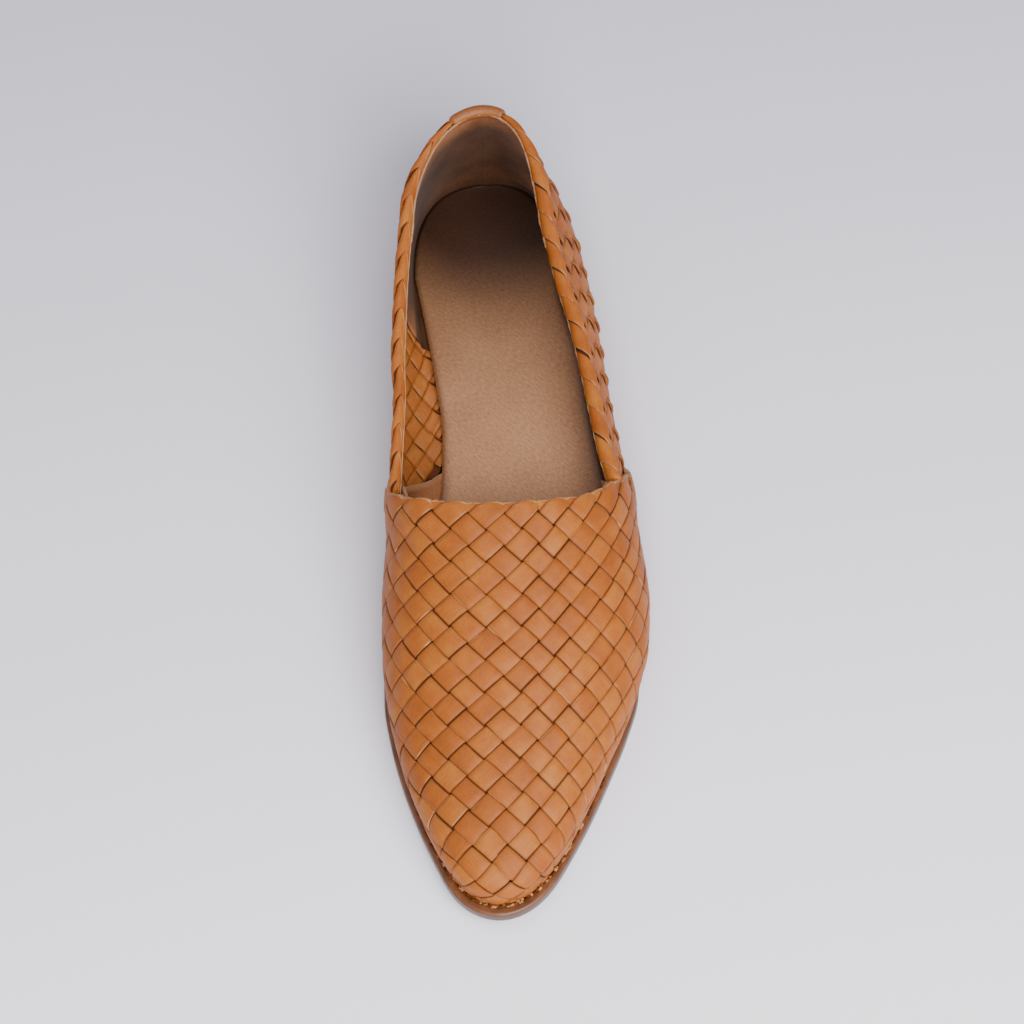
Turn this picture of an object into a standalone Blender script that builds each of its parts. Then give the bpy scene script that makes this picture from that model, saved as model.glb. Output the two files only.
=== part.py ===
# A woven leather slip-on shoe for the left foot: one hollow upper that stands open at the collar and
# underneath, a smooth tab over the heel's edge, an insole, a leather outsole and a low heel.
# The toe points along -Y, the outer side of the foot is +X, and the shoe stands on z = 0.
# Sizes are in millimetres, and points become metres when a mesh is made.

import math
from functools import lru_cache

import bmesh
import bpy
import numpy as np

MM = 0.001

# Driving sizes
SHOE_LENGTH = 270.0     # from the heel's back to the sole's tip
TOE_TIP = 266.8         # foremost point of the upper's feather line, where it meets the sole
HEEL_ROUND = 42.0       # the heel's back is half an ellipse this long
HEEL_SEAT = 62.0        # the sole lies level over the heel up to here
HEEL_HEIGHT = 10.0
SOLE_THICKNESS = 4.5
INSOLE_THICKNESS = 2.5
WALL = 2.4              # two crossing strips and their glue
LASTING_MARGIN = 7.0    # the part of the wall that is turned in under the insole
TAB_LEATHER = 1.1
TAB_IN = 10.2           # how far the tab reaches to either side of the heel's middle
TAB_OUT = 8.6
TAB_INSIDE = 4.5        # how far the tab reaches down inside the collar, and outside it
TAB_OUTSIDE = 17.0
TAB_LIP = 1.0           # the tab starts to round over this far under the collar's edge
TAB_GAP = 0.5           # the tab's own facets cross those of the wall, so it stands a little further off
HEEL_INSET = 0.7        # the heel block stands back from the outsole's edge
GAP = 0.3               # between neighbouring pieces
EDGE_ROUNDING = {"outsole": 0.9, "heel": 0.6, "insole": 0.5}

# Throat: the front edge of the opening, a bow over the instep
THROAT_FRONT = 147.5    # station of its foremost point, on the ridge
THROAT_CORNER = 131.5   # station where it meets the side's top line
THROAT_BOW = 1.8        # exponent of the bow
UNDERTURN = 1.5         # exponent of a section's lower arc, which leaves the sole at a slant

# Steps in the meshes
SECTION_STEPS = 40      # along each arc of a section, for measuring lengths
WALL_ROWS = 11
MARGIN_ROWS = 2
HEEL_COLUMNS = 8        # columns of the wall round each half of the heel, along a side, by the throat
SIDE_COLUMNS = 12       # and over the vamp
BOW_COLUMNS = 9
VAMP_COLUMNS = 17
SOLE_HEEL_STEPS = 9     # steps of a sole's outline round the heel and along the rest
SOLE_STEPS = 32
ACROSS = 6              # strips across a sole
TAB_LINES = 11
TAB_SEARCH = 60         # heel angles tried to find the one under each line of the tab
SMALL_TURN = 0.05       # heel angle in radians, for the direction of the rim
EDGE_SEGMENTS = 2
EDGE_ANGLE = 50.0       # degrees: sharper edges are rounded
SHARP_ANGLE = 35.0      # degrees: sharper edges stay sharp in the shading
WELD = 0.02             # points nearer than this are one
TINY = 1e-9

# The last, a row for each section. Stations run from the heel's back to the toe. "in" is the big toe's
# side and "out" the little toe's, both measured from the line through heel and toe. A section rises
# from the feather line to its widest point, the bulge, and over to the ridge. Over the open part the
# ridge is only a guide for the curve of the sides. Fullness is the exponent of the upper arc.
SECTION_NAMES = ("station", "feather_in", "feather_out", "bulge_in", "bulge_out", "bulge_rise",
                 "ridge_x", "ridge_z", "fullness_in", "fullness_out")
SECTION_ROWS = (
    (42.0, 28.4, 27.0, 30.6, 31.6, 11.5, -2.0, 80.0, 1.95, 1.5),
    (60.0, 25.2, 28.0, 31.0, 35.0, 12.0, -1.0, 77.0, 2.1, 1.45),
    (80.0, 22.1, 29.3, 31.3, 37.5, 12.5, 0.5, 74.0, 2.2, 1.6),
    (100.0, 19.8, 31.5, 31.9, 40.2, 13.0, 2.0, 69.5, 2.4, 1.75),
    (120.0, 20.4, 35.2, 33.1, 43.8, 13.2, 3.2, 64.0, 2.5, 1.8),
    (133.0, 25.0, 38.3, 34.3, 46.2, 13.0, 3.8, 60.5, 2.4, 2.0),
    (147.5, 30.6, 41.5, 35.6, 48.4, 12.6, 4.0, 56.8, 2.2, 2.1),
    (165.0, 34.0, 43.8, 36.8, 50.2, 12.0, 3.8, 50.8, 2.15, 2.1),
    (180.0, 34.8, 43.6, 36.9, 49.6, 11.0, 3.4, 45.8, 2.1, 2.1),
    (194.0, 34.2, 41.8, 35.9, 46.4, 10.2, 2.8, 41.2, 2.1, 2.1),
    (207.0, 32.4, 38.4, 33.9, 41.8, 9.4, 2.2, 36.9, 2.1, 2.1),
    (221.0, 29.1, 33.4, 30.6, 35.4, 8.6, 1.6, 32.6, 2.1, 2.1),
    (235.0, 24.6, 27.6, 25.9, 28.9, 7.8, 1.0, 28.6, 2.1, 2.1),
    (249.0, 18.9, 20.6, 19.9, 21.6, 7.0, 0.5, 24.9, 2.1, 2.1),
    (262.5, 9.9, 10.2, 10.6, 10.9, 6.2, 0.1, 20.3, 2.1, 2.1),
    (TOE_TIP, 0.0, 0.0, 0.0, 0.0, 5.6, 0.0, 15.6, 2.1, 2.1),
)

# The outsole's outline, in the same way. It shows as a narrow ledge round the toe only.
SOLE_NAMES = ("station", "half_in", "half_out")
SOLE_ROWS = (
    (42.0, 29.6, 28.4),
    (60.0, 26.6, 29.4),
    (80.0, 23.6, 30.8),
    (100.0, 21.4, 33.0),
    (120.0, 22.0, 36.8),
    (133.0, 26.6, 39.9),
    (147.5, 32.2, 43.2),
    (165.0, 35.8, 45.6),
    (180.0, 37.0, 46.0),
    (193.0, 36.9, 45.2),
    (207.0, 34.9, 41.2),
    (221.0, 31.5, 35.7),
    (235.0, 26.9, 29.7),
    (249.0, 21.2, 22.8),
    (262.5, 14.2, 14.4),
    (SHOE_LENGTH, 0.0, 0.0),
)

# The sole's underside from heel to toe, and the height of the sides' top edge
UNDERSIDE = ((0.0, HEEL_HEIGHT), (HEEL_SEAT, HEEL_HEIGHT), (82.0, 8.6), (105.0, 5.2), (130.0, 1.7),
             (152.0, 0.2), (164.0, 0.0), (206.0, 0.0), (228.0, 0.9), (250.0, 2.8), (SHOE_LENGTH, 5.2))
TOP_LINE = ((0.0, 65.0), (12.0, 63.6), (25.0, 60.6), (42.0, 56.6), (60.0, 52.4), (80.0, 48.2),
            (100.0, 44.6), (118.0, 41.4), (THROAT_CORNER, 38.8))

# The heel by height: how far its back is from the rearmost point, and the exponents that round it in
# plan, where 2 is an ellipse and more is squarer
HEEL_NAMES = ("height", "back", "square_in", "square_out")
HEEL_ROWS = (
    (10.0, 6.0, 2.6, 2.6),
    (15.0, 3.4, 2.6, 2.6),
    (21.0, 1.3, 2.4, 2.4),
    (30.0, 0.0, 2.1, 2.2),
    (44.0, 0.9, 1.9, 2.1),
    (56.0, 2.8, 1.9, 2.1),
    (65.0, 4.6, 1.9, 2.2),
)
SOLE_HEEL_BACK = 2.2
TAPER_STEP = 2.0        # the sides' narrowing towards the heel is read over this length


def glide(knots, values, position):
    """A smooth curve through the knots that never overshoots them."""
    x = np.array(knots)
    y = np.array(values)
    steps = np.diff(x)
    rises = np.diff(y) / steps
    slopes = np.zeros(len(x))
    slopes[0], slopes[-1] = rises[0], rises[-1]
    for k in range(1, len(x) - 1):
        before, after = rises[k - 1], rises[k]
        if before * after > 0.0:
            w1 = 2.0 * steps[k] + steps[k - 1]
            w2 = steps[k] + 2.0 * steps[k - 1]
            slopes[k] = (w1 + w2) / (w1 / before + w2 / after)
    p = min(max(position, x[0]), x[-1])
    k = min(int(np.searchsorted(x, p, side="right")) - 1, len(steps) - 1)
    t = (p - x[k]) / steps[k]
    return float((1 + 2 * t) * (1 - t) ** 2 * y[k] + t * (1 - t) ** 2 * steps[k] * slopes[k]
                 + t * t * (3 - 2 * t) * y[k + 1] + t * t * (t - 1) * steps[k] * slopes[k + 1])


def profile(table, position):
    knots, values = zip(*table)
    return glide(knots, values, position)


def along_shoe(names, rows, name, station):
    """A column of a table at any station. Near the toe a width grows with the root of the distance
    from the tip, which rounds the nose, so the curve runs over that root."""
    tip = rows[-1][0]
    column = names.index(name)
    reach = [math.sqrt(tip - row[0]) for row in reversed(rows)]
    values = [row[column] for row in reversed(rows)]
    return glide(reach, values, math.sqrt(max(tip - station, 0.0)))


def last(name, station):
    return along_shoe(SECTION_NAMES, SECTION_ROWS, name, station)


def heel_shape(name, height):
    column = HEEL_NAMES.index(name)
    return glide([row[0] for row in HEEL_ROWS], [row[column] for row in HEEL_ROWS], height)


def sole_top(station):
    return profile(UNDERSIDE, station) + SOLE_THICKNESS


@lru_cache(maxsize=None)
def section(side, station):
    """One side of a section as (half width, height), from the feather line to the ridge."""
    end = "_out" if side > 0 else "_in"
    feather, bulge = last("feather" + end, station), last("bulge" + end, station)
    fullness = last("fullness" + end, station)
    ridge_x, ridge_z = side * last("ridge_x", station), last("ridge_z", station)
    low = sole_top(station) + GAP
    mid = min(low + last("bulge_rise", station), ridge_z)
    points = []
    for k in range(SECTION_STEPS):
        angle = 0.5 * math.pi * k / SECTION_STEPS
        out = feather + (bulge - feather) * math.sin(angle) ** (2 / UNDERTURN)
        points.append((out, mid - (mid - low) * math.cos(angle) ** (2 / UNDERTURN)))
    for k in range(SECTION_STEPS + 1):
        angle = 0.5 * math.pi * k / SECTION_STEPS
        across = max(math.cos(angle), 0.0) ** (2 / fullness)
        points.append((ridge_x + (bulge - ridge_x) * across,
                       mid + (ridge_z - mid) * math.sin(angle) ** (2 / fullness)))
    return tuple(points)


def half_width_at(side, station, height):
    widths, heights = zip(*section(side, station))
    return float(np.interp(height, heights, widths))


def round_heel(side, angle, half_width, height, real_height):
    """Carries a point of the rearmost section round the heel: angle 0 leaves it, 90 is the back.
    The sides go on narrowing towards the back as they do in front of that section."""
    power = 2 / heel_shape("square_out" if side > 0 else "square_in", real_height)
    back = (HEEL_ROUND - heel_shape("back", real_height)) * math.sin(angle) ** power
    taper = (half_width_at(side, HEEL_ROUND + TAPER_STEP, height) - half_width) / TAPER_STEP
    across = (half_width - max(taper, 0.0) * back) * math.cos(angle) ** power
    return (side * across, HEEL_ROUND - back, real_height)


def heel_line(side, angle):
    """A line up the heel: the rearmost section's side, stretched to the top line's height here."""
    side_top = profile(TOP_LINE, HEEL_ROUND)
    here_top = profile(TOP_LINE, HEEL_ROUND * (1 - math.sin(angle)))
    curve = section(side, HEEL_ROUND)
    low = curve[0][1]
    stretch = (here_top - low) / (side_top - low)
    line = [point for point in curve if point[1] < side_top]
    line.append((half_width_at(side, HEEL_ROUND, side_top), side_top))
    return [np.array(round_heel(side, angle, half_width, height, low + (height - low) * stretch))
            for half_width, height in line]


def trimmed(points, length):
    """The first part of a polyline, up to a length along it."""
    kept = [points[0]]
    for a, b in zip(points, points[1:]):
        step = math.dist(a, b)
        if length <= step:
            kept.append(a + (b - a) * (length / max(step, TINY)))
            return kept
        length -= step
        kept.append(b)
    return kept


def polyline_length(points):
    return sum(math.dist(a, b) for a, b in zip(points, points[1:]))


def respaced(points, count):
    """The polyline again, with evenly spaced points."""
    whole = polyline_length(points)
    return [trimmed(points, whole * k / count)[-1] for k in range(count)] + [points[-1]]


def length_to_height(points, height):
    """How far up the column a height is reached."""
    for k, point in enumerate(points):
        if point[2] >= height:
            before = points[k - 1]
            part = (height - before[2]) / (point[2] - before[2])
            return polyline_length(points[:k]) + part * math.dist(before, point)
    return polyline_length(points)


def corner_reach(side):
    """Distance over the leather from the ridge to the throat's corner."""
    points = [np.array((side * x, THROAT_CORNER, z)) for x, z in section(side, THROAT_CORNER)]
    return polyline_length(points) - length_to_height(points, profile(TOP_LINE, THROAT_CORNER))


def column(side, station, angle, reach):
    """A line up the outside of the wall, from the feather line to the upper's edge or ridge."""
    if angle > 0.0:
        return heel_line(side, angle)
    points = [np.array((side * x, station, z)) for x, z in section(side, station)]
    if station < THROAT_CORNER:
        length = length_to_height(points, profile(TOP_LINE, station))
    elif station < THROAT_FRONT:
        bow = ((THROAT_FRONT - station) / (THROAT_FRONT - THROAT_CORNER)) ** (1 / THROAT_BOW)
        length = polyline_length(points) - reach * bow
    else:
        return points
    return trimmed(points, length)


def heel_angles(count):
    return [0.5 * math.pi * (1 - k / count) for k in range(count)]


def half_stations():
    """Stations of the columns from the heel's back to the toe's tip, with the heel's angles."""
    marks = [(HEEL_ROUND * (1 - math.sin(a)), a) for a in heel_angles(HEEL_COLUMNS)]
    marks += [(s, 0.0) for s in np.linspace(HEEL_ROUND, THROAT_CORNER, SIDE_COLUMNS)[:-1]]
    bow = THROAT_FRONT - THROAT_CORNER
    marks += [(THROAT_FRONT - bow * (k / BOW_COLUMNS) ** THROAT_BOW, 0.0) for k in range(BOW_COLUMNS, 0, -1)]
    root = math.sqrt(TOE_TIP - THROAT_FRONT)
    marks += [(TOE_TIP - (root * (1 - k / VAMP_COLUMNS)) ** 2, 0.0) for k in range(VAMP_COLUMNS + 1)]
    return marks


def inset(outline, distance):
    """Moves an open plan outline, heel to toe, towards the shoe's middle line."""
    flat = np.array(outline)
    moved = []
    for k in range(1, len(flat) - 1):
        along = flat[k + 1] - flat[k - 1]
        along /= np.linalg.norm(along)
        side = math.copysign(1.0, flat[k][0])
        moved.append(flat[k] + distance * np.array((-side * along[1], side * along[0])))
    back = flat[0] + np.array((0.0, distance))
    tip = flat[-1] - np.array((0.0, distance))
    return [back] + moved + [tip]


def feather_rim(side):
    """The feather line of one side as plan points, heel to toe."""
    rim = []
    for station, angle in half_stations():
        half_width, low = section(side, max(station, HEEL_ROUND))[0]
        point = round_heel(side, angle, half_width, low, low) if angle else (side * half_width, station)
        rim.append(point[:2])
    return rim


def sole_rim(side, stop):
    """The outsole's outline on one side, heel to toe or to a stop."""
    name = "half_out" if side > 0 else "half_in"
    power = 2 / heel_shape("square_out" if side > 0 else "square_in", HEEL_HEIGHT)
    heel_width = along_shoe(SOLE_NAMES, SOLE_ROWS, name, HEEL_ROUND)
    depth = HEEL_ROUND - SOLE_HEEL_BACK
    rim = []
    for angle in heel_angles(SOLE_HEEL_STEPS):
        across, back = math.cos(angle) ** power, math.sin(angle) ** power
        rim.append((side * heel_width * across, HEEL_ROUND - depth * back))
    root = math.sqrt(SHOE_LENGTH - HEEL_ROUND)
    for k in range(SOLE_STEPS + 1):
        station = SHOE_LENGTH - (root * (1 - k / SOLE_STEPS)) ** 2
        if station < stop:
            rim.append((side * along_shoe(SOLE_NAMES, SOLE_ROWS, name, station), station))
    rim.append((side * along_shoe(SOLE_NAMES, SOLE_ROWS, name, stop), stop))
    return rim


def middle_x():
    """The object's middle across, so that its box stands centred."""
    ball = np.arange(THROAT_FRONT, THROAT_FRONT + SHOE_LENGTH / 6, GAP)
    widest = {side: max(max(x for x, _ in section(side, s)) for s in ball) for side in (1, -1)}
    return (widest[1] - widest[-1]) / 2


MIDDLE_X = middle_x()


def place(point):
    """From half width, station and height in millimetres to the world in metres."""
    return ((point[0] - MIDDLE_X) * MM, (SHOE_LENGTH / 2 - point[1]) * MM, point[2] * MM)


def leather(name, colour, roughness):
    material = bpy.data.materials.new(name)
    material.use_nodes = True
    shader = material.node_tree.nodes["Principled BSDF"]
    shader.inputs["Base Color"].default_value = (*colour, 1.0)
    shader.inputs["Roughness"].default_value = roughness
    shader.inputs["Metallic"].default_value = 0.0
    return material


def grid_object(name, lines, closed, material, collection):
    """An open sheet from lines of points of equal count. Doubled points at its ends are joined."""
    mesh = bmesh.new()
    rows = [[mesh.verts.new(place(p)) for p in line] for line in lines]
    pairs = list(zip(rows, rows[1:]))
    if closed:
        pairs.append((rows[-1], rows[0]))
    for left, right in pairs:
        for k in range(len(left) - 1):
            mesh.faces.new((left[k], left[k + 1], right[k + 1], right[k]))
    bmesh.ops.remove_doubles(mesh, verts=mesh.verts, dist=WELD * MM)
    bmesh.ops.dissolve_degenerate(mesh, edges=mesh.edges, dist=WELD * MM / 2)
    data = bpy.data.meshes.new(name)
    mesh.to_mesh(data)
    mesh.free()
    data.materials.append(material)
    piece = bpy.data.objects.new(name, data)
    collection.objects.link(piece)
    return piece


def thicken(piece, thickness, outward):
    solidify = piece.modifiers.new("wall", "SOLIDIFY")
    solidify.thickness = thickness * MM
    solidify.offset = 1.0 if outward else -1.0
    solidify.use_even_offset = True


def soften(piece):
    bevel = piece.modifiers.new("edges", "BEVEL")
    bevel.width = EDGE_ROUNDING[piece.name] * MM
    bevel.segments = EDGE_SEGMENTS
    bevel.limit_method = "ANGLE"
    bevel.angle_limit = math.radians(EDGE_ANGLE)


def smooth_shading(piece):
    piece.data.shade_smooth()
    piece.data.set_sharp_from_angle(angle=math.radians(SHARP_ANGLE))


def make_upper(collection):
    """The woven wall as one shell: lasting margin, sides, heel and vamp."""
    sides = {}
    for side in (1, -1):
        reach = corner_reach(side)
        rim = feather_rim(side)
        turned = [inset(rim, LASTING_MARGIN * k / MARGIN_ROWS) for k in range(MARGIN_ROWS, 0, -1)]
        lines = []
        for k, (station, angle) in enumerate(half_stations()):
            wall = respaced(column(side, station, angle, reach), WALL_ROWS)
            margin = [(line[k][0], line[k][1], sole_top(line[k][1]) + GAP) for line in turned]
            lines.append(margin + [tuple(p) for p in wall])
        sides[side] = lines
    around = sides[1] + sides[-1][-2:0:-1]
    woven = leather("woven_tan_leather", (0.55, 0.27, 0.12), 0.55)
    upper = grid_object("upper", around, True, woven, collection)
    thicken(upper, WALL, outward=False)
    smooth_shading(upper)
    return upper


def ladder(rim_out, rim_in, level):
    """Lines across the shoe between two outlines, at the height that level gives for a station."""
    lines = []
    for (x_out, s_out), (x_in, s_in) in zip(rim_out, rim_in):
        line = []
        for k in range(ACROSS + 1):
            part = k / ACROSS
            station = s_out + (s_in - s_out) * part
            line.append((x_out + (x_in - x_out) * part, station, level(station)))
        lines.append(line)
    return lines


def make_outsole(collection):
    lines = ladder(sole_rim(1, SHOE_LENGTH), sole_rim(-1, SHOE_LENGTH), lambda s: profile(UNDERSIDE, s))
    brown = leather("brown_sole_leather", (0.25, 0.12, 0.06), 0.5)
    outsole = grid_object("outsole", lines, False, brown, collection)
    thicken(outsole, SOLE_THICKNESS, outward=True)
    soften(outsole)
    smooth_shading(outsole)
    return outsole


def make_heel(collection):
    """A low heel of stacked leather, set in a little from the outsole's edge."""
    rims = [inset(sole_rim(side, HEEL_SEAT), HEEL_INSET)[:-1] for side in (1, -1)]
    lines = ladder(rims[0], rims[1], lambda s: 0.0)
    stacked = leather("stacked_heel_leather", (0.2, 0.1, 0.05), 0.5)
    heel = grid_object("heel", lines, False, stacked, collection)
    thicken(heel, HEEL_HEIGHT - GAP, outward=True)
    soften(heel)
    smooth_shading(heel)
    return heel


def make_insole(collection):
    """A leather insole that lies on the turned-in margin and touches the wall nowhere."""
    rims = [inset(feather_rim(side), WALL + 2 * GAP) for side in (1, -1)]
    lines = ladder(rims[0], rims[1], lambda s: sole_top(s) + GAP + WALL + GAP)
    smooth = leather("smooth_insole_leather", (0.42, 0.25, 0.15), 0.6)
    insole = grid_object("insole", lines, False, smooth, collection)
    thicken(insole, INSOLE_THICKNESS, outward=True)
    soften(insole)
    smooth_shading(insole)
    return insole


def rim_angle(side, half_width):
    """The heel angle at which the top edge is this far from the shoe's middle."""
    angles = np.linspace(0.5 * math.pi, 2 * SMALL_TURN, TAB_SEARCH)
    offsets = [abs(heel_line(side, a)[-1][0]) for a in angles]
    return float(np.interp(half_width, offsets, angles))


def make_heel_tab(collection):
    """A saddle of smooth leather over the heel's top edge."""
    up = np.array((0.0, 0.0, 1.0))
    lines = []
    for x in np.linspace(TAB_OUT, -TAB_IN, TAB_LINES):
        side = 1 if x > 0 else -1
        angle = rim_angle(side, abs(x))
        wall = heel_line(side, angle)
        whole = polyline_length(wall)
        edge = wall[-1]
        along = heel_line(side, angle - SMALL_TURN)[-1] - edge
        normal = side * np.array((along[1], -along[0], 0.0)) / math.hypot(along[0], along[1])
        inside = [trimmed(wall, whole - drop)[-1] - normal * (WALL + TAB_GAP)
                  for drop in (TAB_INSIDE, TAB_LIP)]
        outside = [trimmed(wall, whole - drop)[-1] + normal * TAB_GAP
                   for drop in (TAB_LIP, TAB_OUTSIDE / 3, TAB_OUTSIDE * 2 / 3, TAB_OUTSIDE)]
        over = [edge - normal * WALL + up * TAB_GAP, edge + up * TAB_GAP]
        lines.append(inside + over + outside)
    smooth = leather("smooth_tab_leather", (0.6, 0.36, 0.2), 0.5)
    tab = grid_object("heel_tab", lines, False, smooth, collection)
    thicken(tab, TAB_LEATHER, outward=True)
    smooth_shading(tab)
    return tab


def main():
    for old in list(bpy.data.objects):
        bpy.data.objects.remove(old, do_unlink=True)
    collection = bpy.data.collections.new("woven_slip_on")
    bpy.context.scene.collection.children.link(collection)
    for make in (make_upper, make_outsole, make_heel, make_insole, make_heel_tab):
        make(collection)


main()
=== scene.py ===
import math
import random

import bpy
import numpy as np
from mathutils import Matrix, Vector


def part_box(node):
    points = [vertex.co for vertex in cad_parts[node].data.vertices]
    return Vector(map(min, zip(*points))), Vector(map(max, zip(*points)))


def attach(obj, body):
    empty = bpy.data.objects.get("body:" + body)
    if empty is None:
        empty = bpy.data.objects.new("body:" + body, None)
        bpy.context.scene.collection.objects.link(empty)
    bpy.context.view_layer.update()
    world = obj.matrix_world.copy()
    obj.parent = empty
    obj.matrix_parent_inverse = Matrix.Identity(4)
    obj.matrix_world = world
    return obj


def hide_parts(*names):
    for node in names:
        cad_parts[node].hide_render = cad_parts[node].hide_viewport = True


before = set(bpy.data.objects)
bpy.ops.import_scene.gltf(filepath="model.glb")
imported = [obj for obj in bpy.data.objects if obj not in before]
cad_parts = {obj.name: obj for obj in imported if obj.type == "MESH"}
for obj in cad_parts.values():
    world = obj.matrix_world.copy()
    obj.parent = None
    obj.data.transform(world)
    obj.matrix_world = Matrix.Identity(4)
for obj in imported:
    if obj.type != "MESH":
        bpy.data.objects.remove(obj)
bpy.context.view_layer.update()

# A woven leather slip-on for the left foot. Lengths are in millimetres until a mesh is made.
mm = 0.001


def glide(knots, values, positions):
    # a smooth curve through the knots that never overshoots them
    x, y = np.array(knots, float), np.array(values, float)
    steps = np.diff(x)
    rises = np.diff(y) / steps
    slopes = np.concatenate(([rises[0]], np.zeros(len(x) - 2), [rises[-1]]))
    for k in range(1, len(x) - 1):
        before, after = rises[k - 1], rises[k]
        if before * after > 0:
            w1, w2 = 2 * steps[k] + steps[k - 1], steps[k] + 2 * steps[k - 1]
            slopes[k] = (w1 + w2) / (w1 / before + w2 / after)
    p = np.clip(positions, x[0], x[-1])
    k = np.clip(np.searchsorted(x, p, side="right") - 1, 0, len(steps) - 1)
    t = (p - x[k]) / steps[k]
    return ((1 + 2 * t) * (1 - t) ** 2 * y[k] + t * (1 - t) ** 2 * steps[k] * slopes[k]
            + t * t * (3 - 2 * t) * y[k + 1] + t * t * (t - 1) * steps[k] * slopes[k + 1])


def step(low, high, value):
    # 0 below low, 1 above high, smooth between
    t = np.clip((np.asarray(value, float) - low) / (high - low), 0, 1)
    return t * t * (3 - 2 * t)


# The last. Stations run from the heel's back to the toe, "In" is the big toe's side.
last = {
    "columns": ("station", "featherIn", "featherOut", "bulgeIn", "bulgeOut", "bulgeRise",
                "ridgeX", "ridgeZ", "fullIn", "fullOut"),
    "rows": (
        (42.0, 28.4, 27.0, 30.6, 31.6, 11.5, -2.0, 80.0, 1.95, 1.5),
        (60.0, 25.2, 28.0, 31.0, 35.0, 12.0, -1.0, 77.0, 2.1, 1.45),
        (80.0, 22.1, 29.3, 31.3, 37.5, 12.5, 0.5, 74.0, 2.2, 1.6),
        (100.0, 19.8, 31.5, 31.9, 40.2, 13.0, 2.0, 69.5, 2.4, 1.75),
        (120.0, 20.4, 35.2, 33.1, 43.8, 13.2, 3.2, 64.0, 2.5, 1.8),
        (133.0, 25.0, 38.3, 34.3, 46.2, 13.0, 3.8, 60.5, 2.4, 2.0),
        (147.5, 30.6, 41.5, 35.6, 48.4, 12.6, 4.0, 56.8, 2.2, 2.1),
        (165.0, 34.0, 43.8, 36.8, 50.2, 12.0, 3.8, 50.8, 2.15, 2.1),
        (180.0, 34.8, 43.6, 36.9, 49.6, 11.0, 3.4, 45.8, 2.1, 2.1),
        (194.0, 34.2, 41.8, 35.9, 46.4, 10.2, 2.8, 41.2, 2.1, 2.1),
        (207.0, 32.4, 38.4, 33.9, 41.8, 9.4, 2.2, 36.9, 2.1, 2.1),
        (221.0, 29.1, 33.4, 30.6, 35.4, 8.6, 1.6, 32.6, 2.1, 2.1),
        (235.0, 24.6, 27.6, 25.9, 28.9, 7.8, 1.0, 28.6, 2.1, 2.1),
        (249.0, 18.9, 20.6, 19.9, 21.6, 7.0, 0.5, 24.9, 2.1, 2.1),
        (262.5, 9.9, 10.2, 10.6, 10.9, 6.2, 0.1, 20.3, 2.1, 2.1),
        (266.8, 0.0, 0.0, 0.0, 0.0, 5.6, 0.0, 15.6, 2.1, 2.1),
    ),
    "toeTip": 266.8,
    "length": 270.0,
    "heelRound": 42.0,      # the heel's back is half an ellipse this long
    "taperStep": 2.0,
    "arcSteps": 300,        # points of each of a section's two arcs
    "underturn": 1.5,       # exponent of a section's lower arc
    "wall": 2.4,
    "gap": 0.3,             # between neighbouring pieces
    "topLine": ((0.0, 65.0), (12.0, 63.6), (25.0, 60.6), (42.0, 56.6), (60.0, 52.4), (80.0, 48.2),
                (100.0, 44.6), (118.0, 41.4), (131.5, 38.8), (150.0, 35.6), (170.0, 33.0)),
    "heelColumns": ("height", "back", "squareIn", "squareOut"),
    "heelRows": (
        (10.0, 6.0, 2.6, 2.6),
        (15.0, 3.4, 2.6, 2.6),
        (21.0, 1.3, 2.4, 2.4),
        (30.0, 0.0, 2.1, 2.2),
        (44.0, 0.9, 1.9, 2.1),
        (56.0, 2.8, 1.9, 2.1),
        (65.0, 4.6, 1.9, 2.2),
    ),
}

sole = {
    "columns": ("station", "halfIn", "halfOut"),
    "rows": (
        (42.0, 29.6, 28.4),
        (60.0, 26.6, 29.4),
        (80.0, 23.6, 30.8),
        (100.0, 21.4, 33.0),
        (120.0, 22.0, 36.8),
        (133.0, 26.6, 39.9),
        (147.5, 32.2, 43.2),
        (165.0, 35.8, 45.6),
        (180.0, 37.0, 46.0),
        (193.0, 36.9, 45.2),
        (207.0, 34.9, 41.2),
        (221.0, 31.5, 35.7),
        (235.0, 26.9, 29.7),
        (249.0, 21.2, 22.8),
        (262.5, 14.2, 14.4),
        (270.0, 0.0, 0.0),
    ),
    "underside": ((0.0, 10.0), (62.0, 10.0), (82.0, 8.6), (105.0, 5.2), (130.0, 1.7),
                  (152.0, 0.2), (164.0, 0.0), (206.0, 0.0), (228.0, 0.9), (250.0, 2.8), (270.0, 5.2)),
    "thickness": 4.5,
    "heelSeat": 62.0,
    "heelBack": 2.2,
    "heelHeight": 10.0,
    "heelInset": 0.7,
    "insoleThickness": 2.5,
}


def alongShoe(table, name, stations):
    # near the toe a width grows with the root of the distance from the tip
    rows, column = table["rows"][::-1], table["columns"].index(name)
    tip = rows[0][0]
    reach = [math.sqrt(tip - row[0]) for row in rows]
    return glide(reach, [row[column] for row in rows], np.sqrt(np.maximum(tip - np.asarray(stations), 0)))


def byTable(table, positions):
    return glide([row[0] for row in table], [row[1] for row in table], positions)


def heelShape(name, heights):
    column = last["heelColumns"].index(name)
    return byTable([(row[0], row[column]) for row in last["heelRows"]], heights)


def soleTop(stations):
    return byTable(sole["underside"], stations) + sole["thickness"]


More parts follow.
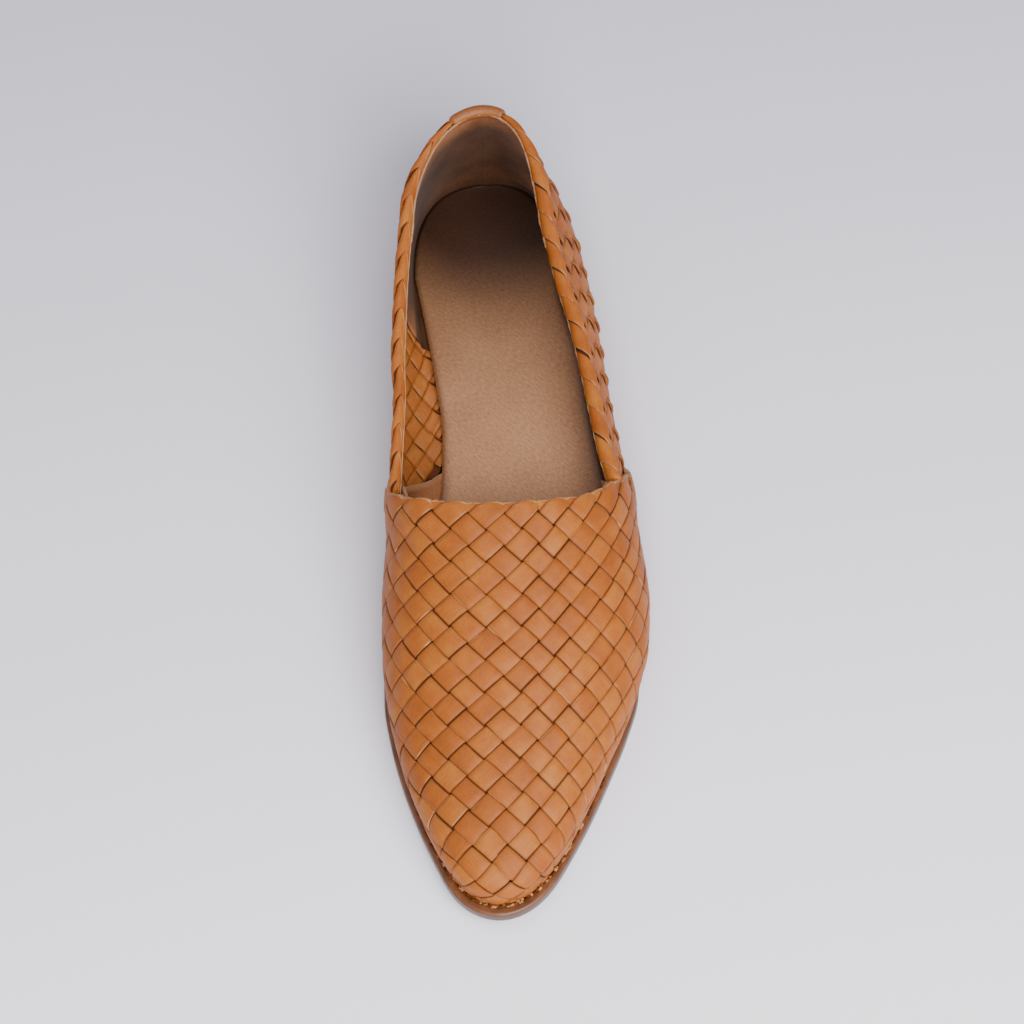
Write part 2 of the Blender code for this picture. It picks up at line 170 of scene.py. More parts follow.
def section(side, station):
    # half widths and heights of one side, from the feather line to the ridge
    end = "Out" if side > 0 else "In"
    feather, bulge, full = (alongShoe(last, name + end, station) for name in ("feather", "bulge", "full"))
    ridgeX, ridgeZ = side * alongShoe(last, "ridgeX", station), alongShoe(last, "ridgeZ", station)
    low = soleTop(station) + last["gap"]
    mid = min(low + alongShoe(last, "bulgeRise", station), ridgeZ)
    angle = np.linspace(0, math.pi / 2, last["arcSteps"])
    lower = np.stack((feather + (bulge - feather) * np.sin(angle) ** (2 / last["underturn"]),
                      mid - (mid - low) * np.cos(angle) ** (2 / last["underturn"])), 1)
    upper = np.stack((ridgeX + (bulge - ridgeX) * np.maximum(np.cos(angle), 0) ** (2 / full),
                      mid + (ridgeZ - mid) * np.sin(angle) ** (2 / full)), 1)
    return np.concatenate((lower[:-1], upper))


def standing(curve, side, station):
    # a section's points as across, station and height
    return np.stack((side * curve[:, 0], np.full(len(curve), station), curve[:, 1]), 1)


ball = np.linspace(147.5, 200, 80)      # stations where the shoe is widest
middleX = (alongShoe(last, "bulgeOut", ball).max() - alongShoe(last, "bulgeIn", ball).max()) / 2
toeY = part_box("outsole")[0][1]


def place(points):
    # from across, station and height to the world in metres
    points = np.asarray(points, float)
    return np.stack(((points[..., 0] - middleX) * mm, toeY + (last["length"] - points[..., 1]) * mm,
                     points[..., 2] * mm), -1)


def measured(points):
    # length along a polyline at each of its points
    return np.concatenate(([0], np.cumsum(np.linalg.norm(np.diff(points, axis=0), axis=1))))


def resampled(points, lengths):
    along = measured(points)
    return np.stack([np.interp(lengths, along, points[:, k]) for k in range(points.shape[1])], 1)


def gridNormals(points, row, column, axis):
    # unit normals, turned so that the one at this row and column points up its axis
    normals = np.cross(np.gradient(points, axis=0), np.gradient(points, axis=1))
    normals = normals / np.maximum(np.linalg.norm(normals, axis=2, keepdims=True), 1e-12)
    return -normals if normals[row, column, axis] < 0 else normals


def readGrid(grid, rows, columns):
    # bilinear reading of points and normals at fractional rows and columns
    count, width = grid["points"].shape[:2]
    i = np.clip(rows, 0, count - 1.001)
    j = np.clip(columns, 0, width - 1.001)
    i0, j0 = i.astype(int), j.astype(int)
    fi, fj = (i - i0)[..., None], (j - j0)[..., None]
    found = []
    for values in (grid["points"], grid["normals"]):
        found.append((values[i0, j0] * (1 - fj) + values[i0, j0 + 1] * fj) * (1 - fi)
                     + (values[i0 + 1, j0] * (1 - fj) + values[i0 + 1, j0 + 1] * fj) * fi)
    found[1] /= np.maximum(np.linalg.norm(found[1], axis=-1, keepdims=True), 1e-12)
    return found


# The vamp's surface. Arcs run over the leather from the ridge, towards the little toe's side, and
# ways run towards the toe. Up to fanStart the rows are upright sections, and beyond it they tilt
# forward, so that the weave goes over the tip and down to the sole.
vampSurface = {
    "start": 84.0,
    "fanStart": 250.0,
    "fanFoot": 258.0,           # where the last tilted row meets the feather line
    "rowStep": 1.0,
    "fanStep": 0.5,
    "half": 92.0,
    "spacing": 0.5,
    "tuck": 7.0,                # of the leather turned in beyond the feather line
    "toeSteps": 120,
    "toeOverlap": 12.0,
    "toeGather": 1.2,           # above 1, points stand closer near the ridge
    "underRows": (0.3, 2.0, 4.0, 6.0),
    "lastingAim": 240.0,        # the margin at the toe turns in towards this station
}


def featherPoint(side, station):
    width = alongShoe(last, "featherOut" if side > 0 else "featherIn", station)
    return np.array((side * width, station, soleTop(station) + last["gap"]))


def inwardFrom(foot):
    # the way that a lasting margin turns, towards the middle of the sole
    aim = np.array((-foot[0], min(vampSurface["lastingAim"] - foot[1], 0), 0))
    return aim / np.linalg.norm(aim)


def toeSections():
    # sections of each side of the toe, resampled to equal shares of their arcs
    own = vampSurface
    roots = np.linspace(math.sqrt(last["toeTip"] - own["fanStart"] + own["toeOverlap"]), 0, own["toeSteps"])
    share = np.linspace(0, 1, own["toeSteps"]) ** own["toeGather"]
    sections = {}
    for side in (-1, 1):
        lines = [standing(section(side, station)[::-1], side, station)
                 for station in last["toeTip"] - roots ** 2]
        sections[side] = np.array([resampled(line, share * measured(line)[-1]) for line in lines])
    return sections


def fanLine(grid, top, low):
    # where the tilted plane through top and low cuts one side of the toe
    across = top - low
    ahead = (grid[..., 1] - low[0]) * across[1] - (grid[..., 2] - low[1]) * across[0]
    line = [np.array((0, top[0], top[1]))]
    for column in range(1, grid.shape[1]):
        values = ahead[:, column]
        if values[0] < 0 < values[-1]:
            k = int(np.argmax(values > 0))
            t = -values[k - 1] / (values[k] - values[k - 1])
            line.append(grid[k - 1, column] * (1 - t) + grid[k, column] * t)
    line = np.array(line)
    apart = np.linalg.norm(np.diff(line, axis=0), axis=1) > 1e-6
    return line[np.concatenate(([True], apart))]


def makeVampGrid():
    own = vampSurface
    half = np.arange(0, own["half"] + 0.01, own["spacing"])
    rows, reach, ways = [], [], []

    def addRow(way, lines):
        flat = []
        for line in lines:
            foot = line[-1]
            flat.append(resampled(np.concatenate((line, [foot + own["tuck"] * inwardFrom(foot)])), half))
        rows.append(np.concatenate((flat[0][:0:-1], flat[1])))
        reach.append([measured(line)[-1] for line in lines])
        ways.append(way)

    for station in np.arange(own["start"], own["fanStart"], own["rowStep"]):
        addRow(station, [standing(section(side, station)[::-1], side, station) for side in (-1, 1)])
    sections = toeSections()
    ridge, drop = sections[1][:, 0], sections[1][-1]
    middle = np.concatenate((ridge, drop[1:]))
    middle = middle[middle[:, 1] >= own["fanStart"]]
    fanWays = measured(middle)
    total = fanWays[-1]
    for way in np.arange(0, total - 0.3, own["fanStep"]):
        top = np.array([np.interp(way, fanWays, middle[:, k]) for k in (1, 2)])
        footStation = own["fanStart"] + (own["fanFoot"] - own["fanStart"]) * way / total
        low = np.array((footStation, soleTop(footStation) + last["gap"]))
        addRow(own["fanStart"] + way, [fanLine(sections[side], top, low) for side in (-1, 1)])
    # beyond the feather line the rows go inward, under the toe
    stations = np.linspace(last["toeTip"], own["fanFoot"], 60)
    for inset in own["underRows"]:
        lines = []
        for side in (-1, 1):
            line = np.array([featherPoint(side, station) for station in stations])
            lines.append(line + inset * np.array([inwardFrom(point + (0, 0.01, 0)) for point in line]))
        addRow(own["fanStart"] + total + inset, lines)
    points = np.array(rows)
    return {"points": points, "normals": gridNormals(points, 60, points.shape[1] // 2, 2),
            "reach": np.array(reach), "ways": np.array(ways), "end": own["fanStart"] + total}


vampGrid = makeVampGrid()


def vampReach(arcs, ways):
    # how far the leather goes from the ridge to the feather line, on the side of each point
    inner, outer = (np.interp(ways, vampGrid["ways"], vampGrid["reach"][:, k]) for k in (0, 1))
    return np.where(arcs < 0, inner, outer)


def vampAt(arcs, ways):
    columns = arcs / vampSurface["spacing"] + vampGrid["points"].shape[1] // 2
    return readGrid(vampGrid, np.interp(ways, vampGrid["ways"], np.arange(len(vampGrid["ways"]))), columns)


# The quarters' surface: around runs round the top line from the heel's back, towards the little
# toe's side, and depth goes down the leather from the top line
sideSurface = {"heelSteps": 36, "front": 168.0, "stationStep": 1.5, "depth": 80.0, "spacing": 0.5,
               "tuck": 9.0}


def cutAt(curve, height):
    # the part of a section below a height, ending at it
    width = np.interp(height, curve[:, 1], curve[:, 0])
    return np.concatenate((curve[curve[:, 1] < height], [(width, height)]))


def heelColumn(side, angle):
    roundFrom = last["heelRound"]
    curve, ahead = section(side, roundFrom), section(side, roundFrom + last["taperStep"])
    sideTop = byTable(last["topLine"], roundFrom)
    hereTop = byTable(last["topLine"], roundFrom * (1 - math.sin(angle)))
    low = curve[0, 1]
    widths, heights = cutAt(curve, sideTop).T
    taper = np.maximum((np.interp(heights, ahead[:, 1], ahead[:, 0]) - widths) / last["taperStep"], 0)
    real = low + (heights - low) * (hereTop - low) / (sideTop - low)
    power = 2 / heelShape("squareOut" if side > 0 else "squareIn", real)
    back = (roundFrom - heelShape("back", real)) * math.sin(angle) ** power
    across = (widths - taper * back) * math.cos(angle) ** power
    return np.stack((side * across, roundFrom - back, real), 1)[::-1]


def sideColumn(side, station):
    return standing(cutAt(section(side, station), byTable(last["topLine"], station))[::-1], side, station)


def makeSideGrid():
    own = sideSurface
    depths = np.arange(0, own["depth"], own["spacing"])
    stations = np.arange(last["heelRound"], own["front"], own["stationStep"])
    halves, reaches = {}, {}
    for side in (-1, 1):
        columns = [heelColumn(side, math.pi / 2 * (1 - k / own["heelSteps"]))
                   for k in range(own["heelSteps"])]
        columns += [sideColumn(side, station) for station in stations]
        reaches[side] = [measured(column)[-1] for column in columns]
        halves[side] = []
        for column in columns:
            foot = column[-1]
            inward = np.array((-foot[0], max(last["heelRound"] - foot[1], 0), 0))
            inward /= max(np.linalg.norm(inward), 1e-9)
            halves[side].append(resampled(np.concatenate((column, [foot + own["tuck"] * inward])), depths))
    points = np.array(halves[-1][:0:-1] + halves[1])
    around = measured(points[:, 0])
    around -= around[len(halves[-1]) - 1]
    return {"points": points, "normals": gridNormals(points, len(points) - 20, 10, 0), "around": around,
            "reach": np.array(reaches[-1][:0:-1] + reaches[1]), "stations": points[:, 0, 1]}


sideGrid = makeSideGrid()
print("surfaces of the last are ready")


def sideAt(around, depths):
    rows = np.interp(around, sideGrid["around"], np.arange(len(sideGrid["around"])))
    return readGrid(sideGrid, rows, depths / sideSurface["spacing"])


def sideReach(around):
    # depth of the feather line
    return np.interp(around, sideGrid["around"], sideGrid["reach"])


def aroundAt(side, station):
    # where on the top line a station lies
    middle = int(np.argmin(np.abs(sideGrid["around"])))
    half = slice(middle, None) if side > 0 else slice(middle, None, -1)
    return float(np.interp(station, sideGrid["stations"][half], sideGrid["around"][half]))


# Pieces. A sweep is an array of points, one row for each step along it and one column for each
# point round it.
def sweepFaces(steps, count):
    faces = []
    for first in range(0, (steps - 1) * count, count):
        for m in range(count):
            n = (m + 1) % count
            faces.append((first + m, first + n, first + count + n, first + count + m))
    return faces + [tuple(range(count))[::-1], tuple(range((steps - 1) * count, steps * count))]


def sheetFaces(rows, columns):
    # a closed flat piece: the top grid, then the bottom grid, joined round the border
    faces, lower = [], rows * columns
    for k in range(rows - 1):
        for m in range(columns - 1):
            a, b = k * columns + m, k * columns + m + 1
            c, d = a + columns, b + columns
            faces.append((a, b, d, c))
            faces.append((lower + a, lower + c, lower + d, lower + b))
    index = np.arange(lower).reshape(rows, columns)
    border = [*index[0], *index[1:, -1], *index[-1, -2::-1], *index[-2:0:-1, 0]]
    for a, b in zip(border, border[1:] + border[:1]):
        faces.append((b, a, lower + a, lower + b))
    return faces


def flatMap(along, across):
    # mm along and across a flat piece, for its material's patterns
    return np.stack((along, across, 0 * across), -1).reshape(-1, 3)


def makePiece(name, points, faces, node, material, values):
    mesh = bpy.data.meshes.new(name)
    mesh.from_pydata(place(points).tolist(), [], faces)
    for label, numbers in values.items():
        numbers = np.asarray(numbers, np.float32)
        kind, field = ("FLOAT_VECTOR", "vector") if numbers.ndim == 2 else ("FLOAT", "value")
        mesh.attributes.new(label, kind, "POINT").data.foreach_set(field, numbers.ravel())
    mesh.polygons.foreach_set("use_smooth", [True] * len(mesh.polygons))
    mesh.update()
    mesh.validate()
    mesh.materials.append(material)
    piece = bpy.data.objects.new(name, mesh)
    bpy.context.scene.collection.objects.link(piece)
    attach(piece, "root")
    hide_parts(node)
    print(name, len(mesh.polygons), "faces")
    return piece


def makeSheet(name, upper, lower, node, material, values):
    # a flat piece from its upper and lower grids of points, which share their values
    points = np.concatenate((upper.reshape(-1, 3), lower.reshape(-1, 3)))
    doubled = {label: np.concatenate((numbers, numbers)) for label, numbers in values.items()}
    return makePiece(name, points, sheetFaces(*upper.shape[:2]), node, material, doubled)


# Materials
def toLinear(colour):
    parts = [int(colour[k:k + 2], 16) / 255 for k in (1, 3, 5)]
    return tuple(part / 12.92 if part <= 0.04045 else ((part + 0.055) / 1.055) ** 2.4
                 for part in parts) + (1.0,)


def placeStops(ramp, stops):
    while len(ramp.elements) > 1:
        ramp.elements.remove(ramp.elements[0])
    for k, (position, colour) in enumerate(stops):
        element = ramp.elements[0] if k == 0 else ramp.elements.new(position)
        element.position = position
        element.color = toLinear(colour)


def addNode(material, kind, settings=None, **links):
    # an input goes by its name, with _ for a space in a link, or by i and its number; stops are a
    # ramp's positions and colours
    tree = material.node_tree
    node = tree.nodes.new(kind)

    def isNumber(key):
        return key[0] == "i" and key[1:].isdigit()

    for key, value in (settings or {}).items():
        if key == "stops":
            placeStops(node.color_ramp, value)
        elif isNumber(key):
            node.inputs[int(key[1:])].default_value = value
        elif key in node.inputs:
            node.inputs[key].default_value = value
        else:
            setattr(node, key, value)
    for key, source in links.items():
        tree.links.new(source, node.inputs[int(key[1:]) if isNumber(key) else key.replace("_", " ")])
    return node


def newMaterial(name):
    material = bpy.data.materials.new(name)
    material.use_nodes = True
    material.node_tree.nodes.clear()
    return material


# A piece's points carry values for its material: strip is the place in mm on the leather, tone is
# the strap's own, and on the insole it carries stains and painted shade; edge is 1 on cut edges; depth is how
# dark a point is with grime and painted shade, and below 0 how pale it is with raw leather.
strapLook = {
    "pale": "#a76525",
    "tan": "#995118",
    "deep": "#844210",
    "edge": "#642808",
    "worn": "#9b6128",
    "raw": "#d4a070",
    # the colour of grime and of painted shade in crossings, gaps and grooves
    "grimeAndShade": "#260c03",
    "streaks": (0.16, 1.9, 1.0),    # to a mm, 0.5 mm wide and 6 mm long: real fibre is too fine to show
    "pores": 1.4,                   # to a mm: pebbled grain of 0.7 mm, drawn twice as coarse as it is
    "blotches": 0.13,               # to a mm: 8 mm wide
    "gloss": 0.24,
    "coat": 0.06,
    "bump": 0.00014,
}


def makeStrapLeather():
    # Vegetable-tanned strap leather, rolled smooth: a soft gloss on the crown of each strap, fine
    # streaks along it, raw orange-brown fibre on the cut edges, and dark grime with painted shade down in the
    # crossings
    look = strapLook
    material = newMaterial("vegetableTannedStrap")
    strip = addNode(material, "ShaderNodeAttribute", {"attribute_name": "strip"}).outputs["Vector"]
    tone, edge, depth = (addNode(material, "ShaderNodeAttribute", {"attribute_name": name}).outputs["Fac"]
                         for name in ("tone", "edge", "depth"))
    stretched = addNode(material, "ShaderNodeMapping", {"Scale": look["streaks"]}, Vector=strip).outputs[0]
    streaks = addNode(material, "ShaderNodeTexNoise", {"Scale": 1.0, "Detail": 4.0, "Roughness": 0.62},
                      Vector=stretched).outputs["Fac"]
    pores = addNode(material, "ShaderNodeTexNoise",
                    {"Scale": look["pores"], "Detail": 5.0, "Roughness": 0.75}, Vector=strip).outputs["Fac"]
    blotches = addNode(material, "ShaderNodeTexNoise", {"Scale": look["blotches"], "Detail": 3.0},
                       Vector=strip).outputs["Fac"]
    # each strap's own tone, then the blotches, the streaks and the grain
    mixed = addNode(material, "ShaderNodeMath", {"operation": "MULTIPLY_ADD", "i1": 0.33},
                    i0=tone, i2=blotches)
    shade = addNode(material, "ShaderNodeMath", {"operation": "MULTIPLY_ADD", "i1": 0.5},
                    i0=streaks, i2=mixed.outputs[0])
    grained = addNode(material, "ShaderNodeMath", {"operation": "MULTIPLY_ADD", "i1": 0.8},
                      i0=pores, i2=shade.outputs[0])
    spread = addNode(material, "ShaderNodeMapRange", {"From Min": 0.9, "From Max": 1.69},
                     Value=grained.outputs[0])
    base = addNode(material, "ShaderNodeValToRGB",
                   {"stops": ((0.0, look["deep"]), (0.5, look["tan"]), (1.0, look["pale"]))},
                   Fac=spread.outputs[0])
    # crossings and cut ends share a value: above 0 it is grime and painted shade, below 0 pale raw leather
    fibre = addNode(material, "ShaderNodeValToRGB", {"stops": ((0.3, look["edge"]), (0.75, look["worn"]))},
                    Fac=streaks)
    cut = addNode(material, "ShaderNodeMix", {"data_type": "RGBA"},
                  i0=edge, i6=base.outputs[0], i7=fibre.outputs[0])
    ends = addNode(material, "ShaderNodeValToRGB", {"stops": ((0.3, look["worn"]), (0.7, look["raw"]))},
                   Fac=streaks)
    raw = addNode(material, "ShaderNodeMapRange", {"From Min": 0.0, "From Max": -0.8}, Value=depth)
    cut = addNode(material, "ShaderNodeMix", {"data_type": "RGBA"},
                  i0=raw.outputs[0], i6=cut.outputs[2], i7=ends.outputs[0])
    grimeAndShadeAmount = addNode(material, "ShaderNodeMapRange", {"From Min": 0.1, "From Max": 0.9, "To Max": 0.9},
                    Value=depth)
    colour = addNode(material, "ShaderNodeMix", {"data_type": "RGBA", "i7": toLinear(look["grimeAndShade"])},
                     i0=grimeAndShadeAmount.outputs[0], i6=cut.outputs[2])
    height = addNode(material, "ShaderNodeMath", {"operation": "MULTIPLY_ADD", "i1": 1.4},
                     i0=streaks, i2=pores)
    bump = addNode(material, "ShaderNodeBump", {"Strength": 0.5, "Distance": look["bump"]},
                   Height=height.outputs[0])
    # grime and painted shade have no shine
    rough = addNode(material, "ShaderNodeMapRange",
                    {"From Min": 0.3, "From Max": 0.75, "To Min": 0.46, "To Max": 0.66}, Value=pores)
    dull = addNode(material, "ShaderNodeMath", {"operation": "MULTIPLY_ADD", "i1": 0.5},
                   i0=grimeAndShadeAmount.outputs[0], i2=rough.outputs[0])
    shader = addNode(material, "ShaderNodeBsdfPrincipled",
                     {"IOR": 1.45, "Specular IOR Level": look["gloss"], "Coat Weight": look["coat"],
                      "Coat Roughness": 0.3},
                     Base_Color=colour.outputs[2], Roughness=dull.outputs[0], Normal=bump.outputs[0])
    addNode(material, "ShaderNodeOutputMaterial", None, Surface=shader.outputs[0])
    return material


strapLeather = makeStrapLeather()

# Weaves. Straps of one way keep p and run along q, those of the other keep q and run along p:
# column = p + q goes round the shoe and row = p - q goes along it, or down its sides.
strap = {
    "thickness": 1.15,
    "rise": 0.44,           # of a strap's middle above or below the weave's
    "crown": 0.09,
    "cell": 7.9,
    "steps": 10,            # to a cell
    "wobble": 0.02,         # of a strap to its side, in cells
    # across, -1 to 1, and through, -1 to 1, once round the strap
    "ring": ((-0.91, 1), (-0.6, 1), (-0.2, 1), (0.2, 1), (0.6, 1), (0.91, 1), (0.98, 0.72), (1.0, 0.2),
             (1.0, -0.5), (0.94, -1), (0.5, -1), (0.0, -1), (-0.5, -1), (-0.94, -1), (-1.0, -0.5),
             (-1.0, 0.2), (-0.98, 0.72)),
}
ringAcross, ringThrough = np.array(strap["ring"]).T
ringBody = ringThrough * strap["thickness"] / 2 + (1 - ringAcross ** 2) * strap["crown"] * (ringThrough > 0)
ringEdge = np.interp(np.abs(ringAcross), (0.6, 0.91, 0.98), (0.0, 0.3, 1.0))
ringOnTop = ringThrough > -0.4


def wave(rows):
    # flat on top of each crossing and steep between, from -1 to 1
    swing = np.cos(math.pi * rows)
    return np.tanh(2.0 * swing) / math.tanh(2.0)


def crossingShade(swing):
    # painted shade, with some grime, where a strap goes under the next one
    return 1 - step(-0.2, 0.22, swing)


def strapMap(along, across, offset):
    # mm along and across a strap, each strap at a place of its own in the patterns
    return flatMap(along * strap["cell"] + 0 * across + offset, across * strap["cell"])


def shownSpans(shown, least=5):
    # where a strap shows unbroken for at least so many steps
    whole = shown.all(axis=1).astype(int)
    turns = np.flatnonzero(np.diff(np.concatenate(([0], whole, [0]))))
    return [(first, end) for first, end in zip(turns[::2], turns[1::2]) if end - first >= least]


def makeStraps(name, parts):
    # joins parts, each with its points, its faces and its points' values
    faces, first = [], 0
    for part in parts:
        faces += [[first + corner for corner in face] for face in part["faces"]]
        first += len(part["points"])
    joined = {label: np.concatenate([part[label] for part in parts])
              for label in ("points", "strip", "tone", "edge", "depth")}
    return makePiece(name, joined.pop("points"), faces, "upper", strapLeather, joined)


def makeWeave(own, strapShape):
    # a piece for each way of the weave, and a tone for each strap
    generator = random.Random(own["seed"])
    for way, name, toneSeed in own["pieces"]:
        tones = random.Random(toneSeed)
        parts = []
        for index in own["straps"]:
            for points, strip, depth in strapShape(index, way, generator):
                steps, count = points.shape[:2]
                parts.append({"points": points.reshape(-1, 3), "faces": sweepFaces(steps, count),
                              "strip": strip, "tone": np.full(steps * count, tones.random()),
                              "edge": np.tile(ringEdge, steps), "depth": depth.ravel()})
        makeStraps(name, parts)


vampWeave = {
    # arcs of columns and stations of rows along the ridge, and how much a row bows back at the sides
    "columns": ((-13.0, -91.0), (-9.0, -66.5), (-5.0, -41.8), (-1.0, -17.0), (3.0, 6.5), (7.0, 27.3),
                (11.0, 48.3), (15.0, 71.0), (19.0, 94.0)),
    "rows": ((-2.0, 141.7), (0.0, 151.7), (20.0, 251.7), (21.0, 257.2), (22.0, 263.4), (23.0, 268.0),
             (24.0, 272.6), (25.0, 277.4), (26.0, 282.2)),
    "bow": ((-1.0, 0.0068), (1.0, 0.0065), (5.0, 0.006), (9.0, 0.0048), (13.0, 0.0039), (17.0, 0.0037),
            (22.0, 0.002), (26.0, 0.0)),
    "toeShift": 3.2,        # of the columns towards the little toe, near the tip
    "corner": 1.5,          # of the throat's corner to the back, for each row
    "throat": -0.78,        # the row of the back edge
    "inset": 1.25,          # of the weave's middle below the last's surface
    "seed": 4,
    "pieces": ((True, "vamp_straps_over", 11), (False, "vamp_straps_under", 12)),
    "straps": range(-16, 26),
    "nearThroat": (0, 0.02, 0.05, 0.09, 0.14, 0.2, 0.28, 0.38, 0.5),    # steps in cells
    "length": 40,           # in cells, more than the longest strap
    "fill": 0.935,          # of the lattice's width
    "fray": (0.0, 0.5, 0.9),    # how pale the fibres on an edge may be
    "endRadius": 1.3,       # of the turned-in ends at the throat
    "pastSide": 6.2,        # beyond the feather line, where the straps are turned in
    "pastToe": 5.4,
    "cornerLift": 1.6,
}


def wayAt(arcs, row, behind):
    # behind: how many rows behind the first, where the little toe's corner is pulled back
    corner = vampWeave["corner"] * step(27, 43, arcs) * behind
    return byTable(vampWeave["rows"], row) - byTable(vampWeave["bow"], row) * (arcs - 1) ** 2 - corner


def vampLattice(p, q):
    column, row = p + q, p - q
    arcs = byTable(vampWeave["columns"], column) + vampWeave["toeShift"] * step(14, 23, row)
    return arcs, wayAt(arcs, row, np.clip(1 - row, 0, 2))


def throatWay(arcs):
    # the station of the vamp's back edge
    return wayAt(arcs, vampWeave["throat"], 1 - vampWeave["throat"])


def throatEnd(upper):
    # the row where a strap turns in at the throat: rounded, the upper straps' ends are petals
    across = ringAcross[None, :]
    if upper:
        return (vampWeave["throat"] + 0.42 * (np.maximum(across + 0.35, 0) / 1.35) ** 2
                + 0.34 * (np.maximum(-0.35 - across, 0) / 0.65) ** 2)
    return (vampWeave["throat"] + 0.06 + 0.3 * (np.maximum(-0.2 - across, 0) / 0.8) ** 2
            + 0.2 * (np.maximum(across + 0.2, 0) / 1.2) ** 2)


def cornerLift(arcs, row):
    # the vamp's back edge lies over the quarters at both of its corners
    return vampWeave["cornerLift"] * (1 - step(0.2, 2.6, row)) * step(24, 34, np.abs(arcs - 6))


def vampStrap(index, upper, generator):
    # one strap from the throat, or from a side's feather line, to where it goes under the shoe
    own = vampWeave
    middle = index + 0.5
    along = np.concatenate((own["nearThroat"], np.arange(0.6, own["length"], 1 / strap["steps"])))[:, None]
    wobble = generator.uniform(-strap["wobble"], strap["wobble"])
    phase = generator.uniform(0, 6)
    frayed = generator.choice(own["fray"]), generator.choice(own["fray"])
    across = ringAcross * own["fill"] * (1 + 0.035 * np.sin(along * 0.9 + phase)) / 2 + wobble
    # a strap starts along its end's curve, which is gone after a cell
    fade = 1 - step(0, 0.9, along)
    ends = throatEnd(upper)
    row = ends + (-across if upper else across) * fade + along - (ends - ends.min()) * (1 - fade)
    p, q = (middle + across, middle - row) if upper else (middle + row, middle + across)
    arcs, ways = vampLattice(p, q)
    shown = ((np.abs(arcs) < vampReach(arcs, ways) + own["pastSide"])
             & (ways < vampGrid["end"] + own["pastToe"]) & (ways > vampSurface["start"] + 2))
    pieces = []
    for first, end in shownSpans(shown):
        cut = slice(first, end)
        atThroat = first == 0
        swing = (1 if upper else -1) * wave(row[cut])
        if not upper:
            swing = np.where(row[cut] < 0, -1, swing)
        distance = along[cut] * strap["cell"]
        radius = own["endRadius"]
        turn = atThroat * (radius - np.sqrt(radius ** 2 - np.maximum(radius - distance, 0) ** 2))
        points, normals = vampAt(arcs[cut], ways[cut])
        height = (strap["rise"] * swing + ringBody - turn * np.where(ringThrough > -0.6, 1, 0.4)
                  - own["inset"] + cornerLift(arcs[cut], (p - q)[cut]))
        # pale fibres stand out here and there on the cut edges, and all along them by the throat
        patch = step(0.1, 0.7, np.sin(along[cut] * 2.1 + phase) * np.sin(along[cut] * 0.83 + 2 * phase))
        fibres = np.maximum(np.where(ringAcross < 0, *frayed) * patch,
                            0.5 * (1 - step(3, 8, distance)) * atThroat)
        fibres = fibres * ((np.abs(ringAcross) > 0.95) & (ringThrough > 0)) * step(0.0, 0.4, swing)
        # painted shade where the strap goes under its neighbours, on its face and on its back
        shade = np.where(ringOnTop, crossingShade(swing) * step(-0.45, -0.3, row[cut]),
                         0.7 * crossingShade(-swing))
        pieces.append((points + normals * height[..., None],
                       strapMap(along[cut], across[cut], 40 * index + (0 if upper else 900)),
                       shade - (1 - step(0.7, 1.1, distance)) * atThroat - fibres))
    return pieces


makeWeave(vampWeave, vampStrap)


# Quarters: one lattice goes all round the heel, and its slant turns over at the heel's back, so
# that on both sides the straps of one way run down towards the toe.
sideWeave = {
    "pitch": 9.9,           # between straps along the top line
    "drop": 4.65,           # of a row down the side
    "rimRow": 1.5,          # the row on the top line
    "slant": 0.4,
    "fill": 0.985,          # of the lattice's width
    "tilt": 0.85,           # a strap that falls towards the toe lifts its front edge
    "turnOver": 26.0,       # from the back to where the slant is full
    "start": 4.2,           # of the lattice's zero along the top line
    "top": 1.2,             # of the straps' upper ends below the top line
    "inset": 1.25,
    "underVamp": 17.0,
    "pastFeather": 7.0,     # where the straps are turned in
    "seed": 5,
    "pieces": ((True, "quarter_straps_falling", 21), (False, "quarter_straps_rising", 22)),
    "straps": range(-34, 40),
    "cells": (-14, 40),     # that a strap runs through
    "flare": 1.3,           # of the big toe's side at the rim
    "press": 0.5,           # of the weave's height, under the heel's rim
}


def sideLattice(p, q):
    column, row = p + q, p - q
    along = sideWeave["pitch"] / 2 * column + sideWeave["start"]
    depth = sideWeave["drop"] * (row - sideWeave["rimRow"])
    slant = sideWeave["slant"] * np.tanh(along / sideWeave["turnOver"])
    return along - slant * depth, depth


def vampEdgeBehind(around, depth):
    # how far behind the vamp's back edge a point of the quarters lies
    stations = sideAt(around, depth)[0][..., 1]
    side = np.where(around < 0, -1.0, 1.0)
    above = sideReach(around) - depth
    arcs = side * np.maximum(vampReach(side, np.maximum(stations, vampSurface["start"])) - above, 0)
    return throatWay(arcs) - stations


def flareAt(around, depth):
    # the big toe's side leans out at the rim
    return (sideWeave["flare"] * step(22, 42, -around) * (1 - step(95, 112, -around))
            * (1 - step(1, 10, depth)))


